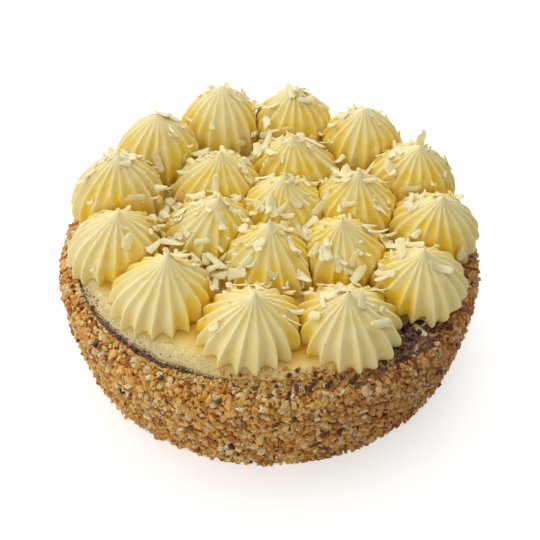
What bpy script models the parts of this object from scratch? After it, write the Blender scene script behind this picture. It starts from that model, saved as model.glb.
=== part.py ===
"""Round cream cake with a chopped nut coat, nineteen piped rosettes and white chocolate shavings.

The cake stands on z = 0 with its middle on the z axis. Front is -Y, right is +X.
Clock angles are in degrees from the front, growing towards the right.
"""

import math
import random

import bmesh
import bpy
import numpy as np
from mathutils import Matrix, Vector
from mathutils.bvhtree import BVHTree

MM = 0.001
GAP = 0.3 * MM

# Cake body: a low drum that widens a little towards the top, under a coat of chopped nuts
FOOT_RADIUS = 94.5 * MM
COAT_RADIUS = 99.2 * MM
COAT_WIDEST_Z = 42.0 * MM
RIM_Z = 48.3 * MM
RIM_INNER_RADIUS = 92.3 * MM
BODY_COLUMNS = 104
BODY_ROWS_WALL = 9
BODY_ROWS_RIM = 3
NUT_RELIEF = 1.3 * MM
NUT_SHIFT = 0.30

# Dark sponge sheet that shows as a thin line between the cream and the nuts
SPONGE_THICKNESS = 4.0 * MM
SPONGE_SEGMENTS = 48

# Cream spread over the top: flat in the middle, sloping down to a ragged edge
CREAM_TOP_Z = 53.0 * MM
CREAM_EDGE_RADIUS = 90.0 * MM
CREAM_SLOPE_WIDTH = 6.0 * MM
CREAM_SLOPE = 0.56
SHOULDER_RADIUS = 85.0 * MM
CREAM_SEGMENTS = 72
CREAM_RAGGED = 0.6 * MM
BARE_PATCH_CLOCK = 42.0
BARE_PATCH_HALF_ANGLE = 7.0
BARE_PATCH_DEPTH = 6.0 * MM

# Piped rosettes: cream from an open star nozzle held upright, pulled away into a peak
ROSETTE_RADIUS = 23.7 * MM
RIDGES = 18
FLUTE_DEPTH = 0.17
FLUTE_FADE = 0.55
RIDGE_WANDER = 2.2
RIDGE_SWEEP = 6.0
SHOULDER_POWER = 2.6
PEAK_BLUNT = 0.05
LEAN_POWER = 1.3
FOOT_TUCK = 0.06
FOOT_TUCK_LEVEL = 0.07
RING_LEVELS = (0.0, 0.15, 0.38, 0.60, 0.80)
UNDERSIDE_RING = 0.9
NEIGHBOUR_RANGE = 50.0 * MM
NEIGHBOUR_FACING = 0.05
FAR_AWAY = 1.0
PRESS_SHARPNESS = 12
RIM_CLEARANCE = 91.5 * MM

# Where each rosette stands and how it is pulled: clock, distance from the middle in mm, tip lean to
# the right and to the back in mm, height in mm, peak power (1 a full dome, 2.6 a narrow peak), and
# the clock of its first ridge
ROSETTES = {
    "rosette_outer_01": (-6.9, 65.4, 2.5, -1.5, 26.5, 2.6, 6),
    "rosette_outer_02": (27.3, 71.0, -1.5, -3.0, 26.0, 2.6, 10),
    "rosette_outer_03": (60.0, 75.5, -0.5, -3.0, 26.0, 2.6, 8),
    "rosette_outer_04": (88.5, 76.5, 1.5, -5.0, 27.0, 2.0, 15),
    "rosette_outer_05": (114.5, 77.0, 2.0, -3.5, 29.2, 1.4, 3),
    "rosette_outer_06": (142.5, 77.5, 0.5, -3.3, 30.7, 1.2, 19),
    "rosette_outer_07": (171.0, 77.7, 1.0, -1.6, 32.2, 1.15, 12),
    "rosette_outer_08": (199.5, 78.8, 1.5, 1.4, 33.0, 1.0, 7),
    "rosette_outer_09": (228.0, 78.5, 3.5, -1.5, 32.3, 1.1, 1),
    "rosette_outer_10": (255.0, 77.8, 4.8, -2.5, 30.8, 1.15, 17),
    "rosette_outer_11": (282.5, 72.5, 5.0, -2.0, 27.5, 2.0, 8),
    "rosette_outer_12": (315.1, 65.8, 5.0, 2.0, 27.0, 2.6, 15),
    "rosette_inner_1": (0.0, 26.5, 0.5, 3.0, 28.0, 2.6, 15),
    "rosette_inner_2": (57.5, 38.5, -1.0, -1.0, 27.5, 2.6, 4),
    "rosette_inner_3": (104.5, 42.5, 0.5, 0.5, 28.0, 2.0, 11),
    "rosette_inner_4": (163.0, 44.5, -1.5, -3.0, 27.5, 1.7, 20),
    "rosette_inner_5": (223.0, 38.0, 3.0, -1.5, 28.0, 2.0, 13),
    "rosette_inner_6": (280.5, 28.5, 6.0, -2.0, 27.5, 2.4, 6),
    "rosette_centre": (140.0, 11.0, 0.0, 0.5, 28.0, 2.2, 9),
}

# White chocolate shavings: thin, slightly curled strips that have sunk into the cream
SHAVING_THICKNESS = 1.0 * MM
SHAVING_CURL = 0.14
SHAVING_TAPER = 0.15
SHAVING_SINK = 0.6 * MM
SHAVING_SECTIONS = 3
SHAVING_DROP = 30.0 * MM
SIDE_STEP = 0.1 * MM
HIGHEST_SLOPE = 0.95
LEVEL_STEP = 0.02
CLOCK_STEP = 2.0

# Shavings on each rosette: clock on the rosette, level up its side (0 foot, 1 tip), length and
# width in mm, heading (0 lies across the side, 90 points uphill) and lift off the side in degrees
SHAVINGS = {
    "rosette_outer_01": [(198, 0.39, 8, 2.5, 0, 10)],
    "rosette_outer_02": [(218, 0.69, 8, 3.0, 88, 10), (84, 0.73, 8, 4.0, 10, 15),
        (88, 0.58, 5, 2.2, 30, 40), (58, 0.5, 13, 3.5, 150, 10), (286, 0.52, 7, 4.0, 45, 10),
        (206, 0.41, 8, 4.0, 15, 20), (204, 0.78, 8, 4.0, 5, 25)],
    "rosette_outer_03": [(282, 0.47, 12, 3.3, 50, 5)],
    "rosette_outer_04": [(26, 0.26, 9, 5.0, 130, 20), (202, 0.82, 8, 3.2, 40, 10)],
    "rosette_outer_05": [(236, 0.44, 10, 3.5, 80, 35), (166, 0.9, 7, 4.0, 90, 75),
        (106, 0.51, 8, 4.5, 50, 10), (346, 0.48, 10, 3.3, 5, 5)],
    "rosette_outer_06": [(122, 0.53, 9, 3.5, 40, 10), (86, 0.44, 9, 4.2, 98, 10),
        (250, 0.43, 7, 3.8, 30, 10)],
    "rosette_outer_07": [(316, 0.4, 8, 3.7, 40, 10), (350, 0.54, 7, 2.5, 175, 10)],
    "rosette_outer_08": [(30, 0.34, 6, 3.0, 155, 15), (68, 0.86, 10, 2.5, 105, 5),
        (56, 0.37, 9, 3.0, 165, 10)],
    "rosette_outer_09": [(90, 0.45, 9, 3.5, 125, 10), (50, 0.42, 5, 2.8, 100, 15),
        (6, 0.5, 11, 3.5, 115, 0), (110, 0.85, 9, 4.2, 115, 5)],
    "rosette_outer_10": [(150, 0.83, 9, 4.0, 10, 10), (36, 0.53, 10, 3.0, 168, 5),
        (70, 0.3, 10, 3.8, 133, 15)],
    "rosette_outer_11": [(100, 0.46, 9, 2.8, 140, 10), (98, 0.3, 10, 3.3, 140, 15),
        (30, 0.61, 8, 4.0, 56, 30)],
    "rosette_outer_12": [(174, 0.88, 8, 2.8, 62, 15), (94, 0.36, 8, 3.9, 130, 25)],
    "rosette_inner_1": [(276, 0.3, 8, 3.0, 60, 10), (70, 0.76, 6, 2.7, 120, 5),
        (316, 0.35, 14, 4.6, 28, 20), (2, 0.43, 6, 3.0, 148, 30)],
    "rosette_inner_2": [(112, 0.57, 7, 3.6, 137, 10), (302, 0.5, 8, 3.4, 90, 10),
        (318, 0.58, 7, 3.3, 37, 10), (16, 0.5, 9, 2.8, 66, 50)],
    "rosette_inner_3": [(282, 0.54, 6, 3.3, 116, 10), (338, 0.6, 7, 2.5, 20, 10),
        (258, 0.78, 10, 3.0, 90, 10)],
    "rosette_inner_4": [(224, 0.39, 10, 3.5, 30, 20), (268, 0.51, 8, 2.8, 0, 15),
        (146, 0.45, 10, 3.8, 93, 10), (64, 0.54, 8, 3.1, 108, 10), (190, 0.85, 7, 3.0, 20, 25)],
    "rosette_inner_5": [(218, 0.85, 6, 2.5, 0, 20), (88, 0.62, 9, 4.0, 20, 10),
        (66, 0.52, 6, 2.7, 109, 10)],
    "rosette_inner_6": [(118, 0.82, 8, 4.8, 34, 5), (218, 0.41, 13, 3.0, 88, 5),
        (312, 0.48, 6, 2.6, 165, 10), (346, 0.46, 8, 2.8, 20, 10)],
    "rosette_centre": [(308, 0.53, 7, 3.8, 170, 15), (28, 0.63, 7, 3.8, 113, 10),
        (354, 0.58, 6, 2.5, 40, 20)],
}


def clock_direction(clock):
    """Unit step in x and y for a clock angle: front is -Y, right is +X."""
    angle = np.radians(clock)
    return np.stack([np.sin(angle), -np.cos(angle)], axis=-1)


def rosette_foot(name):
    """Middle of a rosette's foot, in x and y."""
    clock, distance = ROSETTES[name][:2]
    return clock_direction(clock) * distance * MM


def cream_drop(radius):
    """How far a rosette's foot bends down with the cream, at a distance from the cake's middle."""
    return CREAM_SLOPE * np.clip(radius - SHOULDER_RADIUS, 0.0, None)


def free_reach(name, axis_points, directions, rise):
    """Distance from the rosette's axis to the nearest face where a neighbour presses on it.

    Each neighbour's face is the upright plane half way between the two feet, set back by half
    the gap. Low down, the coat's rim counts as one more limit, which widens with the rise.
    """
    foot = rosette_foot(name)
    reach = np.full(directions.shape[:-1], FAR_AWAY)
    for other in ROSETTES:
        step = rosette_foot(other) - foot
        distance = np.hypot(*step)
        if other == name or distance > NEIGHBOUR_RANGE:
            continue
        normal = step / distance
        to_face = (distance - GAP) / 2 - (axis_points - foot) @ normal
        facing = directions @ normal
        towards = facing > NEIGHBOUR_FACING
        reach = np.where(towards, np.minimum(reach, to_face / np.where(towards, facing, 1.0)), reach)
    along = np.sum(axis_points * directions, axis=-1)
    limit = RIM_CLEARANCE + rise
    room = limit ** 2 - np.sum(axis_points ** 2, axis=-1) + along ** 2
    return np.minimum(reach, np.sqrt(np.clip(room, 0.0, None)) - along)


def rosette_surface(name, level, crest_angle, flute):
    """Points of a rosette at heights level (0 foot, 1 tip) and angles crest_angle.

    The radius is R * (1 - level^2.6)^p, a broad shoulder that runs up into a peak: a full dome for
    p = 1, a narrow peak for p = 2.6. It is blunted at the peak and tucked in at the foot, cut back
    by the flutes (flute 0 on a crest, 1 in a groove), and pressed in where a neighbour stands:
    r / (1 + (r / reach)^n)^(1/n). The axis leans with a power of the level, and the foot sags
    with the cream under it.
    """
    lean_right, lean_back, height, peak_power = ROSETTES[name][2:6]
    profile = (1.0 - level ** SHOULDER_POWER) ** peak_power
    profile = profile * (1.0 - FOOT_TUCK * np.exp(-level / FOOT_TUCK_LEVEL))
    profile = profile + PEAK_BLUNT * level ** 4 * np.sqrt(1.0 - level)
    depth = FLUTE_DEPTH * (1.0 - FLUTE_FADE * level)
    radius = ROSETTE_RADIUS * profile * (1.0 - depth * flute)
    pull = level ** LEAN_POWER * MM
    lean = np.stack([lean_right * pull, lean_back * pull], axis=-1)
    axis_points = rosette_foot(name) + lean
    directions = clock_direction(np.degrees(crest_angle))
    rise = level * height * MM
    reach = free_reach(name, axis_points, directions, rise)
    radius = radius / (1.0 + (radius / reach) ** PRESS_SHARPNESS) ** (1.0 / PRESS_SHARPNESS)
    flat = axis_points + directions * radius[..., None]
    sag = cream_drop(np.hypot(flat[..., 0], flat[..., 1])) * (1.0 - level) ** 2
    z = CREAM_TOP_Z + GAP + rise - sag
    return np.concatenate([flat, z[..., None]], axis=-1)


def cell_shift(name, points):
    """Sideways step that brings points back on the rosette's own side of every neighbour's face."""
    foot = rosette_foot(name)
    shift = np.zeros(2)
    for other in ROSETTES:
        step = rosette_foot(other) - foot
        distance = np.hypot(*step)
        if other == name or distance > NEIGHBOUR_RANGE:
            continue
        normal = step / distance
        over = np.max((points[:, :2] + shift - foot) @ normal) - (distance - GAP) / 2
        if over > 0:
            shift = shift - normal * (over + SIDE_STEP)
    return shift


def shaving_frame(name, clock, level, heading, lift):
    """Resting point of a shaving and the directions along, across and out of it."""
    def point(level_here, clock_here):
        return rosette_surface(name, np.array([level_here]), np.radians([clock_here]), np.zeros(1))[0]

    middle = min(level, HIGHEST_SLOPE)
    uphill = Vector(point(middle + LEVEL_STEP, clock) - point(middle - LEVEL_STEP, clock)).normalized()
    across = Vector(point(level, clock + CLOCK_STEP) - point(level, clock - CLOCK_STEP)).normalized()
    out = across.cross(uphill).normalized()
    turn = math.radians(heading)
    along = (across * math.cos(turn) + uphill * math.sin(turn)).normalized()
    rise = math.radians(lift)
    leaning = (along * math.cos(rise) + out * math.sin(rise)).normalized()
    side = out.cross(along).normalized()
    face = leaning.cross(side).normalized()
    return Vector(point(level, clock)), leaning, side, face, out


def settle(points, tree, out):
    """Step that lowers points against out until the first one has sunk a little into the surface."""
    drops = []
    for point in points:
        fall = tree.ray_cast(Vector(point) + out * SHAVING_DROP, -out)[3]
        if fall is not None:
            drops.append(fall - SHAVING_DROP)
    return -out * (min(drops) + SHAVING_SINK) if drops else Vector((0.0, 0.0, 0.0))


def shaving_mesh(host, tree, place):
    """One strip: cross sections along a shallow arc whose ends curl away from the cream."""
    clock, level, length, width, heading, lift = place
    spot, along, side, face, out = shaving_frame(host, clock, level, heading, lift)
    length = length * MM
    width = width * MM
    points = []
    for k in range(SHAVING_SECTIONS):
        s = 2.0 * k / (SHAVING_SECTIONS - 1) - 1.0
        middle = spot + along * (s * length / 2) + face * (SHAVING_CURL * length * s * s / 2)
        half = side * (width / 2 * (1.0 - SHAVING_TAPER * s * s))
        thick = face * (SHAVING_THICKNESS / 2)
        points += [middle - half - thick, middle + half - thick,
                   middle + half + thick, middle - half + thick]
    points = np.array([tuple(p) for p in points])
    points[:, :2] += cell_shift(host, points)
    points += np.array(settle(points, tree, out))
    points[:, :2] += cell_shift(host, points)
    faces = [(3, 2, 1, 0), tuple(4 * (SHAVING_SECTIONS - 1) + k for k in range(4))]
    for row in range(SHAVING_SECTIONS - 1):
        for k in range(4):
            a = 4 * row + k
            b = 4 * row + (k + 1) % 4
            faces.append((a, b, b + 4, a + 4))
    mesh = bpy.data.meshes.new("shaving")
    mesh.from_pydata([tuple(p) for p in points], [], faces)
    bm = bmesh.new()
    bm.from_mesh(mesh)
    bmesh.ops.recalc_face_normals(bm, faces=bm.faces[:])
    bm.to_mesh(mesh)
    bm.free()
    return mesh


def fuse_shavings(obj):
    """Join a rosette and its shavings into one solid with a single Boolean union."""
    group = bpy.data.collections.new("shavings_on_" + obj.name)
    bpy.context.scene.collection.children.link(group)
    cream = obj.data
    tree = BVHTree.FromPolygons([v.co for v in cream.vertices], [f.vertices for f in cream.polygons])
    for place in SHAVINGS[obj.name]:
        strip = bpy.data.objects.new("strip", shaving_mesh(obj.name, tree, place))
        group.objects.link(strip)
    join = obj.modifiers.new("join_shavings", "BOOLEAN")
    join.operation = "UNION"
    join.operand_type = "COLLECTION"
    join.collection = group
    join.solver = "EXACT"
    view = bpy.context.evaluated_depsgraph_get()
    joined = bpy.data.meshes.new_from_object(obj.evaluated_get(view))
    obj.modifiers.clear()
    obj.data = joined
    for strip in list(group.objects):
        bpy.data.objects.remove(strip)
    bpy.data.collections.remove(group)
    split_quads(joined)


def ring_mesh(name, rings, low_pole, high_pole):
    """A closed mesh from equal rings, lowest first, with a fan of faces to a pole at each end."""
    count = len(rings[0])
    points = [tuple(p) for ring in rings for p in ring]
    points += [tuple(low_pole), tuple(high_pole)]
    low = len(points) - 2
    high = len(points) - 1
    last = (len(rings) - 1) * count
    faces = []
    for k in range(count):
        nxt = (k + 1) % count
        faces.append((low, nxt, k))
        faces.append((high, last + k, last + nxt))
        for row in range(len(rings) - 1):
            a = row * count
            b = a + count
            faces.append((a + k, a + nxt, b + nxt, b + k))
    mesh = bpy.data.meshes.new(name)
    mesh.from_pydata(points, [], faces)
    mesh.validate()
    return mesh


def split_quads(mesh):
    """Cut every face into triangles along its shorter diagonal, so that each one is flat."""
    bm = bmesh.new()
    bm.from_mesh(mesh)
    bmesh.ops.triangulate(bm, faces=bm.faces[:], quad_method="SHORT_EDGE")
    bm.to_mesh(mesh)
    bm.free()


def material(name, colour, roughness):
    """A Principled material with one colour and roughness."""
    finish = bpy.data.materials.new(name)
    finish.use_nodes = True
    shader = finish.node_tree.nodes["Principled BSDF"]
    shader.inputs["Base Color"].default_value = (*colour, 1.0)
    shader.inputs["Roughness"].default_value = roughness
    shader.inputs["Metallic"].default_value = 0.0
    return finish


def add_object(name, mesh, finish):
    """Put a mesh in the scene under its node's name."""
    mesh.materials.append(finish)
    obj = bpy.data.objects.new(name, mesh)
    bpy.context.scene.collection.objects.link(obj)
    return obj


def clear_scene():
    """Remove every object that the scene holds."""
    for obj in list(bpy.data.objects):
        bpy.data.objects.remove(obj)


def cake_body():
    """Solid drum with a flat foot, a rough wall of nut pieces and a shallow seat for the sponge."""
    rng = random.Random(11)
    wall = np.linspace(0.0, 1.0, BODY_ROWS_WALL)
    wall_z = COAT_WIDEST_Z * wall
    wall_radius = FOOT_RADIUS + (COAT_RADIUS - FOOT_RADIUS) * np.sin(wall * math.pi / 2)
    turn = np.linspace(0.0, math.pi / 2, BODY_ROWS_RIM + 1)[1:]
    rim_width = COAT_RADIUS - RIM_INNER_RADIUS
    rim_z = COAT_WIDEST_Z + (RIM_Z - COAT_WIDEST_Z) * np.sin(turn)
    rim_radius = RIM_INNER_RADIUS + rim_width * np.cos(turn)
    radii = list(wall_radius) + list(rim_radius)
    heights = list(wall_z) + list(rim_z)
    step_angle = 2 * math.pi / BODY_COLUMNS
    rings = []
    for row, (radius, z) in enumerate(zip(radii, heights)):
        ring = []
        foot = row == 0
        edge = row == len(radii) - 1
        for column in range(BODY_COLUMNS):
            angle = (column + 0.5 * (row % 2) + rng.uniform(-NUT_SHIFT, NUT_SHIFT)) * step_angle
            bump = rng.uniform(-NUT_RELIEF, NUT_RELIEF)
            lift = rng.uniform(-NUT_RELIEF, NUT_RELIEF)
            if foot:
                lift = 0.0
            if edge:
                bump = 0.0
                lift *= 0.5
            reach = radius + bump
            ring.append((reach * math.sin(angle), -reach * math.cos(angle), z + lift))
        rings.append(ring)
    seat_z = RIM_Z - SPONGE_THICKNESS - GAP
    rings.append([(x, y, seat_z) for x, y, z in rings[-1]])
    mesh = ring_mesh("nut_coated_cake", rings, (0.0, 0.0, 0.0), (0.0, 0.0, seat_z))
    split_quads(mesh)
    return add_object("nut_coated_cake", mesh, material("chopped_nuts", (0.46, 0.25, 0.085), 0.75))


def sponge_sheet():
    """Thin round sheet of dark sponge, seated inside the rim of nuts."""
    radius = RIM_INNER_RADIUS * math.cos(math.pi / BODY_COLUMNS) - GAP
    top = RIM_Z
    bottom = top - SPONGE_THICKNESS
    bm = bmesh.new()
    bmesh.ops.create_cone(
        bm, cap_ends=True, segments=SPONGE_SEGMENTS, radius1=radius, radius2=radius,
        depth=SPONGE_THICKNESS, matrix=Matrix.Translation((0.0, 0.0, (top + bottom) / 2)))
    mesh = bpy.data.meshes.new("chocolate_sponge")
    bm.to_mesh(mesh)
    bm.free()
    return add_object("chocolate_sponge", mesh, material("dark_sponge", (0.07, 0.035, 0.03), 0.9))


def cream_topping():
    """Spread of cream with a sloping, slightly ragged edge and a bare patch at the front right."""
    rng = random.Random(5)
    clocks = np.arange(CREAM_SEGMENTS) * 360.0 / CREAM_SEGMENTS
    ragged = np.array([rng.uniform(-CREAM_RAGGED, CREAM_RAGGED) for _ in clocks])
    from_patch = (clocks - BARE_PATCH_CLOCK) / BARE_PATCH_HALF_ANGLE
    edge = CREAM_EDGE_RADIUS + ragged - BARE_PATCH_DEPTH * np.exp(-from_patch ** 2)
    steps = clock_direction(clocks)
    crest = edge - CREAM_SLOPE_WIDTH - CREAM_RAGGED
    low_z = RIM_Z + GAP
    lip_z = CREAM_TOP_Z - CREAM_SLOPE * (CREAM_SLOPE_WIDTH + CREAM_RAGGED)

    def ring(radius, z):
        return np.column_stack([steps * radius[:, None], np.full(len(clocks), z)])

    rings = [ring(edge - CREAM_RAGGED, low_z), ring(edge, lip_z), ring(crest, CREAM_TOP_Z)]
    mesh = ring_mesh("cream_topping", rings, (0.0, 0.0, low_z), (0.0, 0.0, CREAM_TOP_Z))
    split_quads(mesh)
    return add_object("cream_topping", mesh, material("spread_cream", (0.84, 0.71, 0.33), 0.5))


def underside_ring(foot, rim):
    """Ring under a rosette where its foot bends over the cream's shoulder, or just inside its rim.

    On the way out from the foot's middle, the distance from the cake's middle reaches the
    shoulder at the positive root s of |foot + s * spoke| = SHOULDER_RADIUS.
    """
    spoke = rim - foot
    a = np.sum(spoke ** 2, axis=1)
    b = spoke @ foot
    root = (np.sqrt(b ** 2 - a * (foot @ foot - SHOULDER_RADIUS ** 2)) - b) / a
    middle = foot + spoke * np.minimum(root, UNDERSIDE_RING)[:, None]
    return np.column_stack([middle, np.full(len(rim), CREAM_TOP_Z + GAP)])


def rosette(name, finish):
    """One piped rosette: a crest and a groove for each ridge of the nozzle."""
    rng = random.Random(name)
    points_round = 2 * RIDGES
    first_ridge = ROSETTES[name][6]
    sweep = rng.uniform(-RIDGE_SWEEP, RIDGE_SWEEP)
    wander = np.array([rng.uniform(-RIDGE_WANDER, RIDGE_WANDER) for _ in range(points_round)])
    clocks = first_ridge + np.arange(points_round) * 360.0 / points_round + wander
    flute = np.arange(points_round) % 2.0
    rings = []
    for level in RING_LEVELS:
        levels = np.full(points_round, level)
        angles = np.radians(clocks + sweep * level)
        rings.append(rosette_surface(name, levels, angles, flute))
    foot = rosette_foot(name)
    rings.insert(0, underside_ring(foot, rings[0][:, :2]))
    lean_right, lean_back, height = ROSETTES[name][2:5]
    tip = (foot[0] + lean_right * MM, foot[1] + lean_back * MM, CREAM_TOP_Z + GAP + height * MM)
    mesh = ring_mesh(name, rings, (foot[0], foot[1], CREAM_TOP_Z + GAP), tip)
    split_quads(mesh)
    obj = add_object(name, mesh, finish)
    fuse_shavings(obj)
    return obj


def main():
    clear_scene()
    cake_body()
    sponge_sheet()
    cream_topping()
    for name in ROSETTES:
        finish = material(name + "_cream", (0.86, 0.73, 0.36), 0.45)
        rosette(name, finish)


main()
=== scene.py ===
# %% [markdown]
# # A cream cake with piped rosettes and a coat of chopped nuts
#
# The cake stands ready as plain solids: the nut-coated body, a sheet of dark sponge, the spread
# cream and nineteen piped rosettes. This lesson gives each of them the surface that the real one
# has. Every new piece is a surface worked out with numpy as whole arrays and put into a mesh.
# The solids are loaded first, because every measure below is taken from them or agrees with them.

# %% Load the plain solids
import math
import random

import bpy
import numpy as np
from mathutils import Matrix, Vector
from mathutils.bvhtree import BVHTree


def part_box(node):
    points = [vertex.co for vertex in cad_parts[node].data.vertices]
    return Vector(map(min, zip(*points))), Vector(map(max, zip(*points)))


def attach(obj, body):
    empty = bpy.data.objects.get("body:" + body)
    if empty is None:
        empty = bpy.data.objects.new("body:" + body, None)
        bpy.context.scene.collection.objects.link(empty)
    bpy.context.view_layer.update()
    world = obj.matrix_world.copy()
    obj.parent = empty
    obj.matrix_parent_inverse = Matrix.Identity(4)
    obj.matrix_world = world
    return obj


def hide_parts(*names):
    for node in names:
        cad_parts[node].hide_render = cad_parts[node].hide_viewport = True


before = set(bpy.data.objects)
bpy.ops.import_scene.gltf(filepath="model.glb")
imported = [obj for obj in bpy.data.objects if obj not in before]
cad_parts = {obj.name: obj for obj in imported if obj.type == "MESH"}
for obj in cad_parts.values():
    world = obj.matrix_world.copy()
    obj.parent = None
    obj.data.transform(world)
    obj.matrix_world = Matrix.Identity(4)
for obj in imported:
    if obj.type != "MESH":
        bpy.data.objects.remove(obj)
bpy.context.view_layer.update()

MM = 0.001

# %% [markdown]
# ## The camera
#
# The cake is seen from the front and from above, at about 44 degrees. A camera could be placed by
# eye, but then nothing lines up. Here its height and distance are worked out from the angle and
# from the point that it looks at, so one number moves it along its line of sight. The focal length
# is kept in pixels of a 540 pixel frame and turned into millimetres for Blender's 36 mm sensor.

# %% Place the camera
FRAME_PIXELS = 540
FOCAL_PIXELS = 798.3
SENSOR_MM = 36.0
CAMERA_ELEVATION = math.radians(43.62)
CAMERA_DISTANCE = 398.0 * MM
AIM_POINT = Vector((0.29, 0.0, 27.05)) * MM

lens = bpy.data.cameras.new("camera")
lens.sensor_width = SENSOR_MM
lens.lens = FOCAL_PIXELS / FRAME_PIXELS * SENSOR_MM
lens.clip_start = 10.0 * MM
camera = bpy.data.objects.new("camera", lens)
step_back = Vector((0.0, -math.cos(CAMERA_ELEVATION), math.sin(CAMERA_ELEVATION)))
camera.location = AIM_POINT + step_back * CAMERA_DISTANCE
camera.rotation_euler = (math.pi / 2 - CAMERA_ELEVATION, 0.0, 0.0)
bpy.context.scene.collection.objects.link(camera)
bpy.context.scene.camera = camera
print("lens", round(lens.lens, 1), "mm at", [round(v, 3) for v in camera.location])

# %% [markdown]
# ## Measures of the cake
#
# Heights come straight from the boxes of the solids, so the new surfaces sit where the solids are.
# Clock angles run from the front of the cake towards its right, in degrees. They are easier to
# think in than x and y, because nearly everything on a round cake is placed round its middle.

# %% Heights and clock angles
FLOOR_Z = 0.0
SEAT_Z, RIM_Z = (corner[2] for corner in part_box("chocolate_sponge"))
CREAM_LOW_Z, CREAM_TOP_Z = (corner[2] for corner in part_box("cream_topping"))
GAP = 0.3 * MM
UP = np.array([0.0, 0.0, 1.0])


def clock_direction(clock):
    """Unit step in x and y for a clock angle: front is -Y, right is +X."""
    angle = np.radians(clock)
    return np.stack([np.sin(angle), -np.cos(angle)], axis=-1)


def round_points(clock, radius, height):
    """Points at clock angles, radii and heights, which are broadcast against each other."""
    steps = clock_direction(clock)
    radius, height, _ = np.broadcast_arrays(radius, height, steps[..., 0])
    return np.concatenate([steps * radius[..., None], height[..., None]], axis=-1)


def clock_distance(clock, centre):
    """Angle in degrees from a clock angle to a centre, the short way round, -180 to 180."""
    return (np.asarray(clock) - centre + 180.0) % 360.0 - 180.0


def near_clock(clock, centre, width, power=4):
    """1 round a clock angle and 0 away from it: exp(-(distance / width)^power)."""
    return np.exp(-(clock_distance(clock, centre) / width) ** power)


def smooth_step(low, high, value):
    """0 below low and 1 above high, with the curve 3t^2 - 2t^3 in between."""
    t = np.clip((value - low) / (high - low), 0.0, 1.0)
    return t * t * (3.0 - 2.0 * t)


print("rim at", round(RIM_Z / MM, 1), "mm, cream up to", round(CREAM_TOP_Z / MM, 1), "mm")

# %% [markdown]
# ## Helpers for surfaces
#
# A rosette, the spread cream, the sponge and a curl of chocolate have one thing in common: each is
# a stack of closed rings with a point at both ends. So one helper makes the faces for all of them.
# A second helper puts points and faces into a mesh in one go, which is far faster than adding them
# one by one. The third makes soft random relief as a sum of waves, which needs no image.

# %% Faces for stacks of rings, meshes from arrays, and random relief
def ring_stack(rings):
    """Points and faces of a closed stack of rings, given as an array (rows, columns, 3).

    The rings run counter-clockwise seen from the last one. Neighbouring rings are joined by
    quads, and each end is closed by a fan of triangles to the middle of its ring.
    """
    rows, columns = rings.shape[:2]
    points = np.concatenate([rings.reshape(-1, 3), [rings[0].mean(axis=0), rings[-1].mean(axis=0)]])
    here = np.arange(columns)
    after = (here + 1) % columns
    start = np.arange(rows - 1)[:, None] * columns
    quads = np.stack([start + here, start + after, start + columns + after, start + columns + here], -1)
    low_pole = np.full(columns, rows * columns)
    last = (rows - 1) * columns
    low_fan = np.stack([low_pole, after, here], -1)
    high_fan = np.stack([low_pole + 1, last + here, last + after], -1)
    return points, [quads.reshape(-1, 4), low_fan, high_fan]


def mesh_from_arrays(name, points, face_groups, **values):
    """A mesh from points and groups of triangles or quads.

    The named values, a number or a colour for each point, are what materials read by name.
    """
    mesh = bpy.data.meshes.new(name)
    mesh.vertices.add(len(points))
    mesh.vertices.foreach_set("co", np.ascontiguousarray(points, dtype=np.float32).ravel())
    corners = np.concatenate([group.ravel() for group in face_groups])
    sizes = np.concatenate([np.full(len(group), group.shape[1]) for group in face_groups])
    mesh.loops.add(len(corners))
    mesh.loops.foreach_set("vertex_index", corners.astype(np.int32))
    mesh.polygons.add(len(sizes))
    mesh.polygons.foreach_set("loop_start", (np.cumsum(sizes) - sizes).astype(np.int32))
    mesh.update(calc_edges=True)
    mesh.validate()
    for key, numbers in values.items():
        kind, field = ("FLOAT", "value") if numbers.ndim == 1 else ("FLOAT_COLOR", "color")
        layer = mesh.attributes.new(key, kind, "POINT")
        layer.data.foreach_set(field, numbers.astype(np.float32).ravel())
    return mesh


def ripple(points, length, seed, waves=20):
    """Soft random relief, mostly between -1 and 1, for points in metres.

    It is the sum of plane waves cos(2 pi d.p / L + phase) in random directions d, with lengths L
    near the one asked for, scaled so that it has the same strength for any number of waves.
    """
    rng = np.random.default_rng(seed)
    directions = rng.normal(size=(waves, 3))
    directions /= np.linalg.norm(directions, axis=1, keepdims=True)
    lengths = length * rng.uniform(0.7, 1.4, size=(waves, 1))
    phases = rng.uniform(0.0, 2.0 * math.pi, size=waves)
    angles = 2.0 * math.pi * (points @ (directions / lengths).T) + phases
    return np.cos(angles).sum(axis=-1) * math.sqrt(2.0 / waves) * 0.5


# %% [markdown]
# ## Putting a piece on the cake
#
# Every piece is given three things: it moves with the cake, the plain solids that it replaces are
# hidden, and it gets its finish. One function does all three, so none is forgotten.

# %% Add a piece to the cake
def add_piece(mesh, finish, replaced=(), sharp_angle=None):
    """Put a mesh in the scene as a piece of the cake, and say how many triangles it has."""
    mesh.materials.append(finish)
    mesh.shade_smooth()
    if sharp_angle is not None:
        mesh.set_sharp_from_angle(angle=math.radians(sharp_angle))
    piece = bpy.data.objects.new(mesh.name, mesh)
    bpy.context.scene.collection.objects.link(piece)
    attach(piece, "root")
    if replaced:
        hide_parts(*replaced)
    print(piece.name, len(mesh.loops) - 2 * len(mesh.polygons), "triangles")
    return piece


def ring_piece(name, rings, finish, slot, replaced, **values):
    """One stack of rings as a piece, with named values for its points. They are 0 at both poles."""
    points, faces = ring_stack(rings)
    values = {key: np.append(numbers.ravel(), [0.0, 0.0]) for key, numbers in values.items()}
    return add_piece(mesh_from_arrays(name, points, faces, **values), finish, replaced)


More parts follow.
